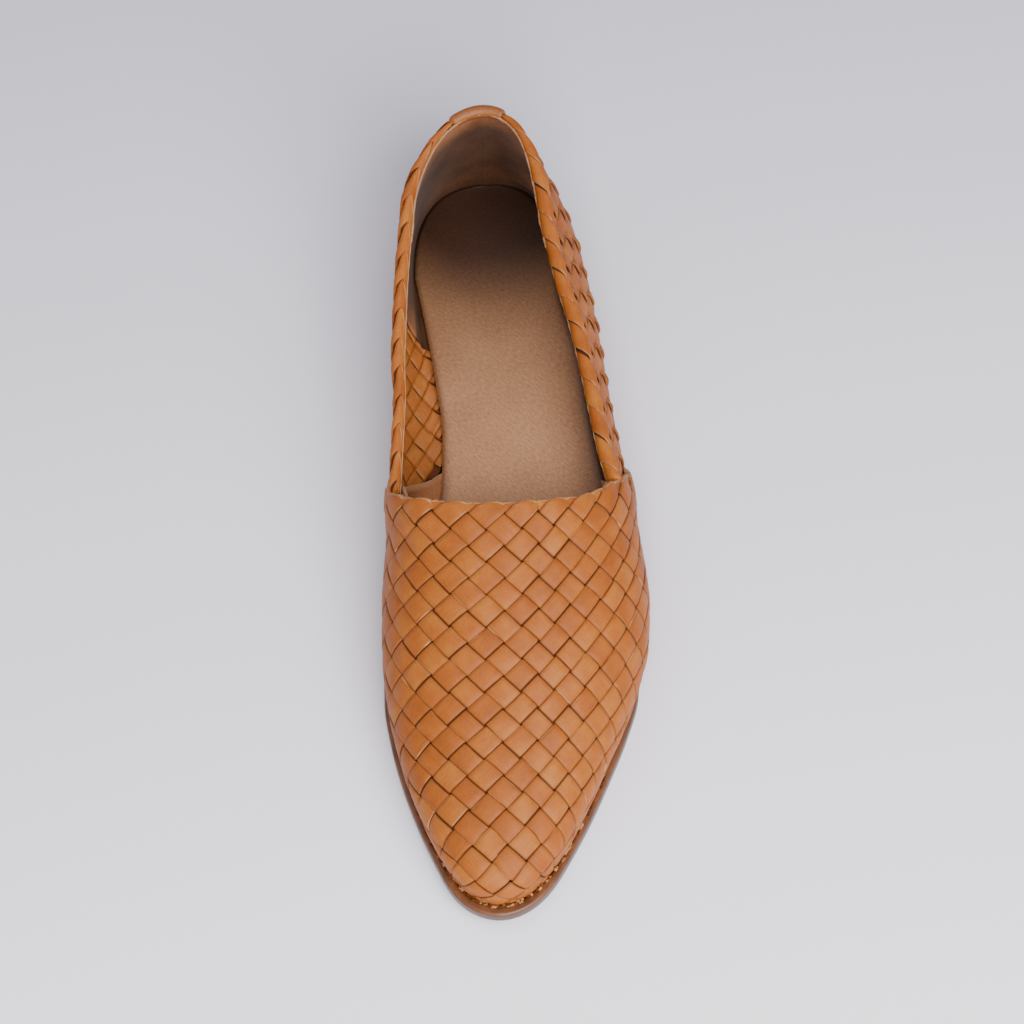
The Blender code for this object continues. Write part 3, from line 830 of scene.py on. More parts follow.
def sideStrap(index, falling, generator):
    own = sideWeave
    middle = index + 0.5
    along = np.arange(*own["cells"], 1 / strap["steps"])[:, None]
    wobble, phase = generator.uniform(-strap["wobble"], strap["wobble"]), generator.uniform(0, 6)
    across = ringAcross * own["fill"] * (1 + 0.015 * np.sin(along * 0.9 + phase)) / 2 + wobble
    row = along + 0 * across
    p, q = (middle + row, middle + across) if falling else (middle + across, middle - row)
    around, depth = sideLattice(p, q)
    shown = (depth > own["top"] - 3) & (depth < sideReach(around) + own["pastFeather"])
    shown &= vampEdgeBehind(around, np.clip(depth, 0, None)) > -own["underVamp"]
    pieces = []
    for first, end in shownSpans(shown):
        cut = slice(first, end)
        sign = -1 if falling else 1
        swing = sign * wave(row[cut])
        # the way that falls towards the toe changes at the heel's back
        front = np.clip(around[cut] / 18, -1, 1)
        lead = np.maximum(front if falling else -front, 0)
        body = ringBody + own["tilt"] * lead * ringAcross * np.sign(front) * np.clip(swing, 0, 1)
        # crossing straps come out with a painted shadow from under a raised edge, and go in again without a
        # line
        emerging = sign * np.sin(math.pi * row[cut])
        soft = lead + (1 - lead) * (1 - step(-0.3, 0.3, emerging))
        slitShadow = 1 - step(0.12, 0.5, swing - 0.55 * (1 - ringAcross ** 2))
        shade = slitShadow * (1 - soft) + 0.12 * crossingShade(swing) * soft
        flat = np.maximum(depth[cut], own["top"])
        points, normals = sideAt(around[cut], flat)
        tucked = step(-6, 1, -vampEdgeBehind(around[cut], flat))
        # under the thin rim at the heel's back the weave is pressed flat
        pressed = own["press"] * (1 - step(12, 42, np.abs(around[cut]))) * (1 - step(4, 14, flat))
        height = (strap["rise"] * swing + body - own["inset"]) * (1 - pressed) - tucked
        height = height + flareAt(around[cut], flat)
        # the strap's back gets painted shade in its crossings too
        pieces.append((points + normals * height[..., None],
                       strapMap(along[cut], across[cut], 40 * index + (500 if falling else 1500)),
                       np.where(ringOnTop, shade, 0.9 * crossingShade(-swing) - 0.12)))
    return pieces


# Torn strap ends that show as chips in the groove between the toe and the sole
frayLook = {"count": 150, "from": 216.0, "size": 0.75, "middle": 225.0, "seed": 31,
            "faces": ((0, 4, 5, 1), (1, 5, 6, 2), (2, 6, 7, 3), (3, 7, 4, 0), (0, 1, 2, 3), (7, 6, 5, 4))}


def makeFrayedEnds():
    look = frayLook
    generator = random.Random(look["seed"])
    parts, line = [], []
    for side, start, stop in ((-1, look["from"], last["toeTip"]), (1, last["toeTip"], look["from"])):
        line += [featherPoint(side, station) for station in np.linspace(start, stop, 400)]
    line = np.array(line)
    whole = measured(line)[-1]
    for k in range(look["count"]):
        where = whole * (k + generator.uniform(0.1, 0.9)) / look["count"]
        here, ahead = resampled(line, np.array((where, min(where + 1.0, whole - 0.01))))
        forward = (ahead - here) / max(np.linalg.norm(ahead - here), 1e-9)
        outward = np.array((-forward[1], forward[0], 0.0))
        if outward @ (here - np.array((0.0, look["middle"], here[2]))) < 0:
            outward = -outward
        half = look["size"] * generator.uniform(0.5, 1.5)
        low, high = generator.uniform(-0.1, 0.2), generator.uniform(0.5, 1.3)
        out, lean = generator.uniform(0.1, 0.9), generator.uniform(-0.6, 0.5)
        points, strip = [], []
        for across in (-1, 1):
            for height, depth in ((low, out), (high, out + lean), (high - 0.2, out + lean - 0.5),
                                  (low, out - 0.8)):
                jag = generator.uniform(0.6, 1.1)
                points.append(here + forward * half * across * jag + outward * depth + (0, 0, height))
                strip.append((where + across, height, 0.0))
        # pale ones lie near the tip, most of them on the little toe's side; the others are darkened with
        # grime and painted shade of the groove
        pale = generator.random() < (0.5 if here[0] > 0 else 0.2) * float(step(228, 246, here[1]))
        parts.append({"points": points, "faces": look["faces"], "strip": strip,
                      "tone": [generator.random()] * len(points), "edge": [0.0] * len(points),
                      "depth": [-0.9 if pale else generator.uniform(0.45, 0.85)] * len(points)})
    piece = makeStraps("frayed_ends", parts)
    piece.data.polygons.foreach_set("use_smooth", [False] * len(piece.data.polygons))


makeFrayedEnds()


makeWeave(sideWeave, sideStrap)


# The rim, from outside over the top to the inside, as millimetres over a rounded edge
rim = {"outside": 0.8, "inside": -4.0, "thinInside": -2.7, "heelOutside": 0.3, "heelInside": -1.5,
       "below": 0.4, "fullRadius": 2.4}


def rimSides(around):
    # the rim is thickest on the little toe's side and thinnest at the heel's back
    full = step(9, 42, np.abs(around))
    thick = np.where(around > 0, rim["inside"], rim["thinInside"])
    flare = flareAt(around, 0.0)
    return (rim["heelOutside"] + (rim["outside"] - rim["heelOutside"]) * full + flare,
            rim["heelInside"] + (thick - rim["heelInside"]) * full + 0.6 * flare)


def rimPoint(around, over, offset, sides=None):
    # over is the way across the rim: up to 0 it climbs the outside, then turns over and goes down
    outside, inside = sides or rimSides(around)
    radius = (outside - inside) / 2
    drop = rim["below"] + radius
    if sides is None:
        over = np.where(over > 0, over * radius / rim["fullRadius"], over)
    turn = math.pi * radius
    angle = np.clip(over / radius, 0, math.pi)
    depth = np.where(over < 0, drop - over, np.where(over > turn, drop + over - turn, drop))
    points, normals = sideAt(around, np.maximum(depth, 0))
    down = sideAt(around, np.maximum(depth, 0) + 1)[0] - points
    down /= np.linalg.norm(down, axis=-1, keepdims=True)
    outward = (outside + inside) / 2 + np.cos(angle) * (radius + offset)
    upward = np.sin(angle) * (radius + offset)
    return points + normals * outward[..., None] - down * upward[..., None]


tabLook = {"light": "#925827", "dark": "#7a4119", "in": -11.0, "out": 7.4, "inside": 3.0, "outside": 17.0,
           "sides": (1.5, -2.3), "thickness": 0.9, "pores": 0.5, "roughness": 0.45, "steps": (30, 50)}
leafLook = {"pitch": 9.9, "firstOut": 15.0, "firstIn": 4.0, "thickness": 1.0, "steps": 30, "across": 15,
            "underTab": 0.9, "underVamp": 4.5, "seed": 9}
outerLeaf = {"length": 12.6, "front": 6.6, "sweep": 9.6, "foot": 10.4, "outer": 1.0, "bulge": 1.5,
             "inner": 7.6, "lift": 0.75, "seam": 9.7, "band": 1.5}
innerLeaf = {"length": 23.0, "back": 2.2, "middle": 4.0, "spread": 3.0, "lift": 1.0, "slitShadow": 1.25}


def outerSideLeaf(run, wide):
    # little toe's side: a leaf whose free front edge runs from its tip, near the rim's outside, to
    # the inside; its back part lies under the leaf before
    own = outerLeaf
    back = own["length"] * wide
    along = own["front"] - own["sweep"] * run ** 0.9 - back
    outerEdge = own["outer"] - own["bulge"] * np.sin(math.pi * np.clip(back / own["foot"], 0, 1))
    over = outerEdge * (1 - run) + own["inner"] * run
    rise = own["lift"] * (1 - wide) ** 1.6 * step(0.0, 0.2, run) * (1 - 0.6 * step(0.7, 1, run))
    rise = rise + 0.1 + 0.3 * np.sin(math.pi * run) - 0.9 * (1 - step(0.0, 0.3, run))
    # painted shadow: the foot of the leaf in front is darkened where it shows under this one's free edge
    band = own["band"] * np.sin(math.pi * run) ** 0.7
    hidden = step(own["seam"] - band, own["seam"] + 0.3 - 0.4 * band, back)
    return along, over, rise, hidden


def tongueEdges(behindTip):
    # inner and outer edge: narrow at first, then the outer one goes over to the shoe's outside
    own = innerLeaf
    return (own["middle"] + own["spread"] * np.clip(behindTip / 11.0, 0, 1) ** 0.62,
            own["middle"] - 2.4 * np.clip(behindTip / 6.0, 0, 1) ** 0.7 - 4.2 * step(4.5, 12.0, behindTip))


def bigToeSideLeaf(run, wide):
    # big toe's side: a tongue that points to the heel from the rim's middle, with its inner edge free
    own = innerLeaf
    inner, outer = tongueEdges(run * own["length"])
    along = own["length"] * run - own["back"] + 0 * wide
    over = inner + (outer - inner) * wide
    rise = own["lift"] * (1 - run) ** 1.6 - 0.3 + 0.25 * np.sin(math.pi * wide)
    rise = rise + 0.3 * (1 - step(0.0, 0.25, wide)) - 0.35 * step(0.6, 1.0, wide) * step(0.0, 0.2, run)
    # the dark gap beside the next tongue is painted shadow
    behindTip = run * own["length"] - leafLook["pitch"]
    nextInner, nextOuter = tongueEdges(behindTip)
    lens = own["slitShadow"] * np.clip(1.1 - behindTip / 13.0, 0, 1) * step(-0.8, 1.5, behindTip)
    hidden = (step(-0.8, 0.0, behindTip) * (1 - step(0.1, 0.4, over - nextInner))
              * step(0.0, 0.4, over - nextOuter + lens))
    return along, over, rise - 0.4 * hidden, hidden


def rimEnd(side):
    # how far round the rim's leaves go before they end under the vamp
    around = np.arange(20.0, 220.0)
    behind = vampEdgeBehind(side * around, np.ones(len(around)))
    return around[np.argmax(behind < -leafLook["underVamp"])]


def makeRimLeaves():
    look = leafLook
    generator = random.Random(look["seed"])
    steps, count = look["steps"], look["across"]
    under = np.ones(steps * count)
    parts = []
    run = np.linspace(0, 1, steps)[:, None] ** 1.2
    wide = np.linspace(0, 1, count)[None, :] ** 1.15
    for side, begin, shape, tabEnd in ((-1, look["firstIn"], bigToeSideLeaf, -tabLook["in"]),
                                       (1, look["firstOut"], outerSideLeaf, tabLook["out"])):
        end = rimEnd(side)
        for k in range(30):
            centre = side * (begin + look["pitch"] * k + generator.uniform(-0.4, 0.4))
            if side * centre > end - 2:
                break
            along, over, rise, hidden = shape(run, wide)
            along = along * generator.uniform(0.95, 1.06)
            around = side * centre + along
            around = side * (around - 0.97 * np.maximum(around - end, 0))
            over = over + generator.uniform(-0.35, 0.35)
            rise = rise + 0.18 * np.sin(math.pi * wide) * np.sin(math.pi * run)
            outside, inside = rimSides(around)
            rise = rise * (0.45 + 0.55 * (outside - inside) / 2 / rim["fullRadius"])
            rise = rise - look["underTab"] * (1 - step(tabEnd - 0.6, tabEnd + 1.5, side * around))
            # what lies under the vamp is pressed in
            covered = step(0, 2.5, -vampEdgeBehind(around, 1.5 + 0 * around))
            rise = rise - (rise + 1.4) * covered
            upper = rimPoint(around, over, rise)
            lower = rimPoint(around, over, rise - look["thickness"])
            border = np.zeros((steps, count))
            border[:, 0] = 1
            border[:, -1] = 1 if side < 0 else 0
            hidden = hidden + 0 * along
            # below 0 the edges are pale raw leather: the inner edge near the tip on the big toe's side, and
            # the free front edge on the little toe's side, where the paleness is also a painted highlight
            if side < 0:
                hidden[:, :2] = -0.9 * (1 - step(0.1, 0.45, run)) * (hidden[:, :2] < 0.3)
            else:
                hidden[:, :1] = -0.35
            parts.append({"points": np.concatenate((upper, lower)).reshape(-1, 3),
                          "faces": sheetFaces(steps, count),
                          "strip": np.tile(flatMap(along + 31 * k, over), (2, 1)),
                          "tone": np.full(2 * steps * count, generator.random()),
                          "edge": np.concatenate((border.ravel(), under)),
                          "depth": np.concatenate((hidden.ravel(), 0.55 * under))})
    makeStraps("rim_straps", parts)


makeRimLeaves()


liningLook = {
    "light": "#a86f49",
    "dark": "#5e3217",
    "fuzz": "#a87c59",
    # seam is the colour of the dark back seam and of painted shade on the lining
    "seam": "#150702",
    "nap": 0.8,             # to a mm: tufts of 1.2 mm, since single fibres are too fine to show
    "cloud": 0.06,          # to a mm: brushed patches of 17 mm
    "roughness": 0.95,
    "sheen": 0.05,
    "bump": 0.0002,
}


def makeSuede():
    # Suede split leather, brushed: matt and soft, with a nap that lightens at grazing angles, a
    # paler, fuzzy cut edge, and a dark colour for the seam and for painted shade
    look = liningLook
    material = newMaterial("brushedSuede")
    strip = addNode(material, "ShaderNodeAttribute", {"attribute_name": "strip"}).outputs["Vector"]
    edge, depth = (addNode(material, "ShaderNodeAttribute", {"attribute_name": name}).outputs["Fac"]
                   for name in ("edge", "depth"))
    nap = addNode(material, "ShaderNodeTexNoise", {"Scale": look["nap"], "Detail": 6.0, "Roughness": 0.7},
                  Vector=strip).outputs["Fac"]
    cloud = addNode(material, "ShaderNodeTexNoise", {"Scale": look["cloud"], "Detail": 2.0},
                    Vector=strip).outputs["Fac"]
    both = addNode(material, "ShaderNodeMath", {"operation": "MULTIPLY_ADD", "i1": 0.5}, i0=nap, i2=cloud)
    base = addNode(material, "ShaderNodeValToRGB", {"stops": ((0.45, look["dark"]), (0.95, look["light"]))},
                   Fac=both.outputs[0])
    fuzzy = addNode(material, "ShaderNodeMix", {"data_type": "RGBA", "i7": toLinear(look["fuzz"])},
                    i0=edge, i6=base.outputs[0])
    colour = addNode(material, "ShaderNodeMix", {"data_type": "RGBA", "i7": toLinear(look["seam"])},
                     i0=depth, i6=fuzzy.outputs[2])
    bump = addNode(material, "ShaderNodeBump", {"Strength": 0.5, "Distance": look["bump"]}, Height=nap)
    shader = addNode(material, "ShaderNodeBsdfPrincipled",
                     {"Roughness": look["roughness"], "IOR": 1.45, "Specular IOR Level": 0.2,
                      "Sheen Weight": look["sheen"]},
                     Base_Color=colour.outputs[2], Normal=bump.outputs[0])
    addNode(material, "ShaderNodeOutputMaterial", None, Surface=shader.outputs[0])
    return material


suede = makeSuede()

# Inside: a lining to the front of the rim's leaves, and a narrow tape on from there
lining = {"thickness": 0.7, "top": 1.5, "low": -2.7, "past": 2.5, "frontOut": 50.0, "frontIn": 47.0,
          "slant": 0.55, "seam": -0.6, "seamTop": 18.0, "edge": 1.0, "rows": 46}
facing = {"width": 3.4, "thickness": 0.4, "end": 136.0, "edge": 0.3, "rows": 10, "steps": 90}
vampLining = {"thickness": 0.7, "end": 262.0, "past": 4.0, "widthRow": 40, "fromEdge": 3.0,
              "sides": (150.5, 0.43), "below": 1.35, "steps": 90, "rows": 60}


def liningSheet(name, around, depth, inset, own, dark):
    points, normals = sideAt(around, depth)
    top = rimSides(around)[1] - 0.1
    offset = top + (lining["low"] - top) * step(1.0, 9.0, depth - lining["top"]) - inset
    outer = points + normals * offset[..., None]
    makeSheet(name, outer - normals * own["thickness"], outer, "upper", suede,
              {"strip": flatMap(around, depth),
               "edge": 1 - step(0.0, own["edge"], depth - depth[:, :1]).ravel(), "depth": dark.ravel()})


def makeLining():
    own = lining
    low, high = aroundAt(-1, own["frontIn"]), aroundAt(1, own["frontOut"])
    share = np.linspace(0, 1, own["rows"])[None, :]
    # close together round the seam
    around = np.concatenate((np.linspace(low, -3, 60), np.arange(-2.8, 1.5, 0.2), np.linspace(2, high, 70)))
    around = around[:, None]
    limit = sideReach(around)
    rag = 0.2 * np.sin(around * 0.9) + 0.12 * np.sin(around * 2.3 + 1)
    depth = own["top"] + rag * (1 - share) + (limit - own["top"] + own["past"]) * share
    # the front ends are cut on a slant
    ahead = np.abs(around) / np.where(around < 0, -low, high)
    around = around + own["slant"] * depth * np.where(around < 0, -1, 1) * step(0.55, 1, ahead)
    # the halves butt together at the back in a dark seam; the foot of the lining, where the insole
    # meets it, is darkened as painted shade, and so is the part of the big toe's side that lies in shade
    fromSeam = np.abs(around - own["seam"]) / 0.35
    seam = np.exp(-fromSeam ** 2) * step(own["seamTop"], own["seamTop"] + 4, depth)
    foot = 0.85 * step(limit - 9.5, limit - 6.5, depth)
    shade = 0.8 * step(-1, 12, depth) * (1 - step(4, 26, around)) * step(-84, -50, around)
    dark = np.maximum(np.maximum(0.8 * seam, foot), shade)
    liningSheet("heel_lining", around, depth, 0.5 * seam, own, dark)
    for side, start, name in ((-1, own["frontIn"], "inner_facing_in"),
                              (1, own["frontOut"], "inner_facing_out")):
        ends = aroundAt(side, start - 1), aroundAt(side, facing["end"])
        around = np.linspace(*(ends if side > 0 else ends[::-1]), facing["steps"])[:, None]
        depth = own["top"] + 0.2 * np.sin(around * 1.3) + np.linspace(0, facing["width"], facing["rows"])
        liningSheet(name, around + 0 * depth, depth, 0.0, facing, 0 * depth)


def makeVampLining():
    # a soft lining under the vamp, whose back edge shows inside the throat's corner
    own = vampLining
    arcs, rows = np.meshgrid(np.linspace(-1, 1, own["steps"]), np.linspace(0, 1, own["rows"]))
    inner, outer = vampGrid["reach"][own["widthRow"]]
    arcs = np.where(arcs < 0, arcs * (inner + own["past"]), arcs * (outer + own["past"]))
    # along the sides its edge is straight
    back = throatWay(arcs) + own["fromEdge"]
    straight = own["sides"][0] - own["sides"][1] * np.abs(arcs)
    back = back + (straight - back) * step(36, 48, np.abs(arcs))
    ways = back + (own["end"] - back) * rows
    reach = vampReach(arcs, ways) + own["past"]
    points, normals = vampAt(np.clip(arcs, -reach, reach), ways)
    below = vampWeave["inset"] + own["below"] + step(28, 40, np.abs(arcs)) * (1 - step(150, 160, ways))
    upper = points - normals * below[..., None]
    makeSheet("vamp_lining", upper, upper - normals * own["thickness"], "upper", suede,
              {"strip": flatMap(ways, arcs), "edge": (1 - step(0.0, 0.012, rows)).ravel(),
               "depth": np.zeros(arcs.size)})


makeLining()
makeVampLining()


def makeSmoothLeather(name, look):
    # Smooth full-grain leather: fine pores and slanting folds of grain 1.5 by 0.65 mm, over patches
    # of 20 mm, with a low gloss. The worn one darkens with its tone, which carries stains, wear and painted
    # shade
    material = newMaterial(name)
    strip = addNode(material, "ShaderNodeAttribute", {"attribute_name": "strip"}).outputs["Vector"]
    tone = addNode(material, "ShaderNodeAttribute", {"attribute_name": "tone"}).outputs["Fac"]
    pores = addNode(material, "ShaderNodeTexVoronoi", {"Scale": 1 / look["pores"]}, Vector=strip)
    cloud = addNode(material, "ShaderNodeTexNoise", {"Scale": 0.05, "Detail": 2.0, "Roughness": 0.4},
                    Vector=strip)
    fold = addNode(material, "ShaderNodeMapping",
                   {"vector_type": "TEXTURE", "Rotation": (0, 0, math.radians(50)), "Scale": (1.5, 0.65, 1)},
                   Vector=strip)
    grain = addNode(material, "ShaderNodeTexNoise", {"Scale": 1.0, "Detail": 5.0, "Roughness": 0.65},
                    Vector=fold.outputs[0]).outputs["Fac"]
    mild = addNode(material, "ShaderNodeMapRange", {"To Min": 0.22, "To Max": 0.48},
                   Value=cloud.outputs["Fac"])
    mixed = addNode(material, "ShaderNodeMath", {"operation": "MULTIPLY_ADD", "i1": 0.85},
                    i0=grain, i2=mild.outputs[0])
    base = addNode(material, "ShaderNodeValToRGB", {"stops": ((0.5, look["dark"]), (1.0, look["light"]))},
                   Fac=mixed.outputs[0]).outputs[0]
    if "worn" in look:
        brown = addNode(material, "ShaderNodeValToRGB",
                        {"stops": ((0.5, look["worn"][0]), (1.0, look["worn"][1]))}, Fac=mixed.outputs[0])
        base = addNode(material, "ShaderNodeMix", {"data_type": "RGBA"},
                       i0=tone, i6=base, i7=brown.outputs[0]).outputs[2]
    height = addNode(material, "ShaderNodeMath", {"operation": "MULTIPLY_ADD", "i1": 0.6},
                     i0=pores.outputs["Distance"], i2=grain)
    bump = addNode(material, "ShaderNodeBump", {"Strength": 0.45, "Distance": 0.00022},
                   Height=height.outputs[0])
    shader = addNode(material, "ShaderNodeBsdfPrincipled",
                     {"IOR": 1.5, "Roughness": look["roughness"], "Coat Weight": 0.04, "Coat Roughness": 0.35,
                      "Specular IOR Level": 0.35},
                     Base_Color=base, Normal=bump.outputs[0])
    addNode(material, "ShaderNodeOutputMaterial", None, Surface=shader.outputs[0])
    return material


def makeHeelTab():
    own = tabLook
    drop = rim["below"] + (own["sides"][0] - own["sides"][1]) / 2
    length = own["out"] - own["in"]
    overEnd = math.pi * (drop - rim["below"]) + own["inside"] - drop
    around, over = np.meshgrid(np.linspace(own["in"], own["out"], own["steps"][0]),
                               np.linspace(drop - own["outside"], overEnd, own["steps"][1]), indexing="ij")
    fromIn = around - own["in"]
    border = np.clip(np.minimum(fromIn, length - fromIn), 0, 1)
    rise = 0.2 * np.sin(math.pi * fromIn / length) - 0.35 * (1 - border) ** 2
    flat = flatMap(around, over)
    makeSheet("heel_tab_leather", rimPoint(around, over, rise, own["sides"]),
              rimPoint(around, over, rise - own["thickness"], own["sides"]), "heel_tab",
              makeSmoothLeather("smoothCalfBinding", own), {"strip": flat, "tone": np.full(len(flat), 0.1)})


makeHeelTab()


# Soles and heel are stacks of closed outlines
def loopFaces(levels, count):
    # walls between closed outlines, then a cap at both ends, laddered from side to side
    faces = []
    for k in range(levels - 1):
        for m in range(count):
            n = (m + 1) % count
            faces.append((k * count + m, k * count + n, (k + 1) * count + n, (k + 1) * count + m))
    for first, turned in ((0, False), ((levels - 1) * count, True)):
        for m in range(count // 2):
            face = tuple(dict.fromkeys((first + m, first + m + 1, first + (count - m - 1) % count,
                                        first + (count - m) % count)))
            if len(face) > 2:
                faces.append(face[::-1] if turned else face)
    return faces


def soleOutline(stop, heelSteps=26, steps=90):
    # closed, from the heel's back round the little toe's side to the stop and home again
    roundFrom, length = last["heelRound"], last["length"]
    root, far = math.sqrt(length - roundFrom), math.sqrt(length - stop)
    sides = []
    for name, end, side in (("halfOut", "Out", 1), ("halfIn", "In", -1)):
        power = 2 / heelShape("square" + end, sole["heelHeight"])
        width = alongShoe(sole, name, roundFrom)
        line = []
        for angle in math.pi / 2 * (1 - np.arange(heelSteps) / heelSteps):
            line.append((side * width * max(math.cos(angle), 0) ** power,
                         roundFrom - (roundFrom - sole["heelBack"]) * math.sin(angle) ** power))
        for k in range(steps + 1):
            station = length - (root + (far - root) * k / steps) ** 2
            line.append((side * float(alongShoe(sole, name, station)), station))
        sides.append(line)
    return np.array(sides[0] + sides[1][::-1][1 if stop == length else 0:-1])


def insetOutline(outline, distance):
    along = np.roll(outline, -1, 0) - np.roll(outline, 1, 0)
    normal = np.stack((along[:, 1], -along[:, 0]), 1)
    normal /= np.linalg.norm(normal, axis=1, keepdims=True)
    if ((outline.mean(0) - outline) * normal).sum() < 0:
        normal = -normal
    inset = outline + normal * distance
    # square corners where the heel stops
    front = outline[:, 1].max()
    inset[:, 1] = np.minimum(inset[:, 1], front - distance)
    corners = np.flatnonzero(outline[:, 1] > front - 0.01)
    if len(corners) == 2:
        inset[corners, 0] = inset[corners + (-1, 1), 0]
    return inset


def loopPiece(name, outline, levels, node, material):
    # each level is how far in, a height from the station, and how dark it is
    loops = []
    for distance, height, shade in levels:
        inset = insetOutline(outline, distance)
        loops.append(np.stack((inset[:, 0], inset[:, 1], height(inset[:, 1])), 1))
    flat = np.concatenate(loops)
    piece = makePiece(name, flat, loopFaces(len(levels), len(outline)), node, material,
                      {"strip": flat[:, (1, 0, 2)],
                       "depth": np.repeat([shade for distance, height, shade in levels], len(outline))})
    piece.data.set_sharp_from_angle(angle=math.radians(55))


soleLook = {"light": "#734424", "dark": "#4d2912", "groove": "#1c0d05", "roughness": 0.42, "round": 1.2,
            "cap": 9.0, "ledge": 3.3, "ledgeEnd": 2.3}


def makeSoleLeather(name, look):
    # Thick sole bend, sanded and waxed at the edge: a dull shine, darker with its depth value, which
    # is painted shade in the groove under the upper and a darker side and lower edge, and lines 0.4 mm high
    # along the pressed layers, since the fibre itself is too fine to show
    material = newMaterial(name)
    strip = addNode(material, "ShaderNodeAttribute", {"attribute_name": "strip"}).outputs["Vector"]
    depth = addNode(material, "ShaderNodeAttribute", {"attribute_name": "depth"}).outputs["Fac"]
    layers = addNode(material, "ShaderNodeMapping", {"Scale": (0.04, 0.04, 2.4)}, Vector=strip)
    lines = addNode(material, "ShaderNodeTexNoise", {"Scale": 1.0, "Detail": 4.0, "Roughness": 0.7},
                    Vector=layers.outputs[0]).outputs["Fac"]
    cloud = addNode(material, "ShaderNodeTexNoise", {"Scale": 0.12, "Detail": 5.0, "Roughness": 0.6},
                    Vector=strip).outputs["Fac"]
    mixed = addNode(material, "ShaderNodeMath", {"operation": "MULTIPLY_ADD", "i1": 0.7}, i0=lines, i2=cloud)
    base = addNode(material, "ShaderNodeValToRGB", {"stops": ((0.6, look["dark"]), (1.1, look["light"]))},
                   Fac=mixed.outputs[0])
    colour = addNode(material, "ShaderNodeMix", {"data_type": "RGBA", "i7": toLinear(look["groove"])},
                     i0=depth, i6=base.outputs[0])
    bump = addNode(material, "ShaderNodeBump", {"Strength": 0.4, "Distance": 0.0002}, Height=lines)
    shader = addNode(material, "ShaderNodeBsdfPrincipled",
                     {"IOR": 1.5, "Roughness": look["roughness"], "Coat Weight": 0.1, "Coat Roughness": 0.3},
                     Base_Color=colour.outputs[2], Normal=bump.outputs[0])
    addNode(material, "ShaderNodeOutputMaterial", None, Surface=shader.outputs[0])
    return material


def makeSole():
    look = soleLook
    curve, half = look["round"], look["round"] / 2

    def above(drop):
        return lambda stations: soleTop(stations) - drop

    def below(lift):
        return lambda stations: byTable(sole["underside"], stations) + lift

    # painted shade on top, in the groove where the upper stands, and darker again round the side and lower
    # edge
    levels = [(look["cap"], above(0), 0.95), (look["ledge"], above(0), 0.95),
              (look["ledgeEnd"], above(0), 0.0), (curve, above(0.06), 0.0)]
    levels += [(curve * (1 - math.sin(angle)), above(curve * (1 - math.cos(angle))), shade)
               for angle, shade in zip(np.linspace(0.3, math.pi / 2, 5), (0.0, 0.0, 0.1, 0.25, 0.6))]
    levels += [(half * (1 - math.cos(angle)), below(half * (1 - math.sin(angle))), 0.6)
               for angle in np.linspace(0, math.pi / 2, 4)]
    levels += [(look["cap"], below(0), 0.6)]
    loopPiece("sole_leather", soleOutline(last["length"]), levels, "outsole",
              makeSoleLeather("waxedSoleBend", look))


heelLook = {"light": "#714426", "dark": "#3f2210", "groove": "#1c0d05", "roughness": 0.45, "cap": 6.0,
            "lifts": 3, "notch": 0.35, "bevel": 0.25}


def makeHeelStack():
    look = heelLook
    bevel, height = look["bevel"], sole["heelHeight"] - last["gap"]
    profile = [(look["cap"], height), (bevel, height), (0.0, height - bevel)]
    for k in range(look["lifts"] - 1, 0, -1):
        middle = height * k / look["lifts"]
        profile += [(0.0, middle + bevel), (look["notch"], middle), (0.0, middle - bevel)]
    profile += [(0.0, 0.4), (0.3, 0.0), (look["cap"], 0.0)]
    levels = [(distance, lambda stations, level=level: level + 0 * stations, 0.0)
              for distance, level in profile]
    outline = insetOutline(soleOutline(sole["heelSeat"], steps=14), sole["heelInset"])
    loopPiece("stacked_heel", outline, levels, "heel",
              makeSoleLeather("stackedHeelLeather", look))


insoleLook = {
    "light": "#c6926a",
    "dark": "#8a5931",
    # worn: near-black colours for the heel's staining and wear, which also carry painted shade
    "worn": ("#150601", "#301404"),
    "pores": 0.55,
    "roughness": 0.5,
    "thickness": 2.4,
    "clear": 3.0,           # from the feather line
    "flare": 0.9,           # how far it widens to the wall on the little toe's side
    "dish": 0.72,
    "bead": 0.25,
    "roll": 0.6,
    "front": 240.0,
    "across": 29,
    "heelSteps": 24,
    "steps": 80,
    "seatEnd": (30, 72),    # of the heel's staining and painted shade along the shoe
    "seatBow": 9.0,
    "seatHalf": 22.0,
    "sideEnd": (60, 125),   # of the lighter staining and painted shade in front of it
}


def insoleHeight(stations):
    return soleTop(stations) + 2 * last["gap"] + last["wall"] + sole["insoleThickness"]


def insoleEnd(side, angle, station):
    # the feather line on the big toe's side; on the other side the insole widens up the wall
    if angle > 0:
        return heelColumn(side, angle)[-1] * (1, 1, 0)
    end = featherPoint(side, station) * (1, 1, 0)
    if side > 0:
        curve = section(side, station)
        wall = np.interp(insoleHeight(station), curve[:, 1], curve[:, 0])
        end[0] += (wall - end[0]) * step(42, 80, station) * insoleLook["flare"]
    return end


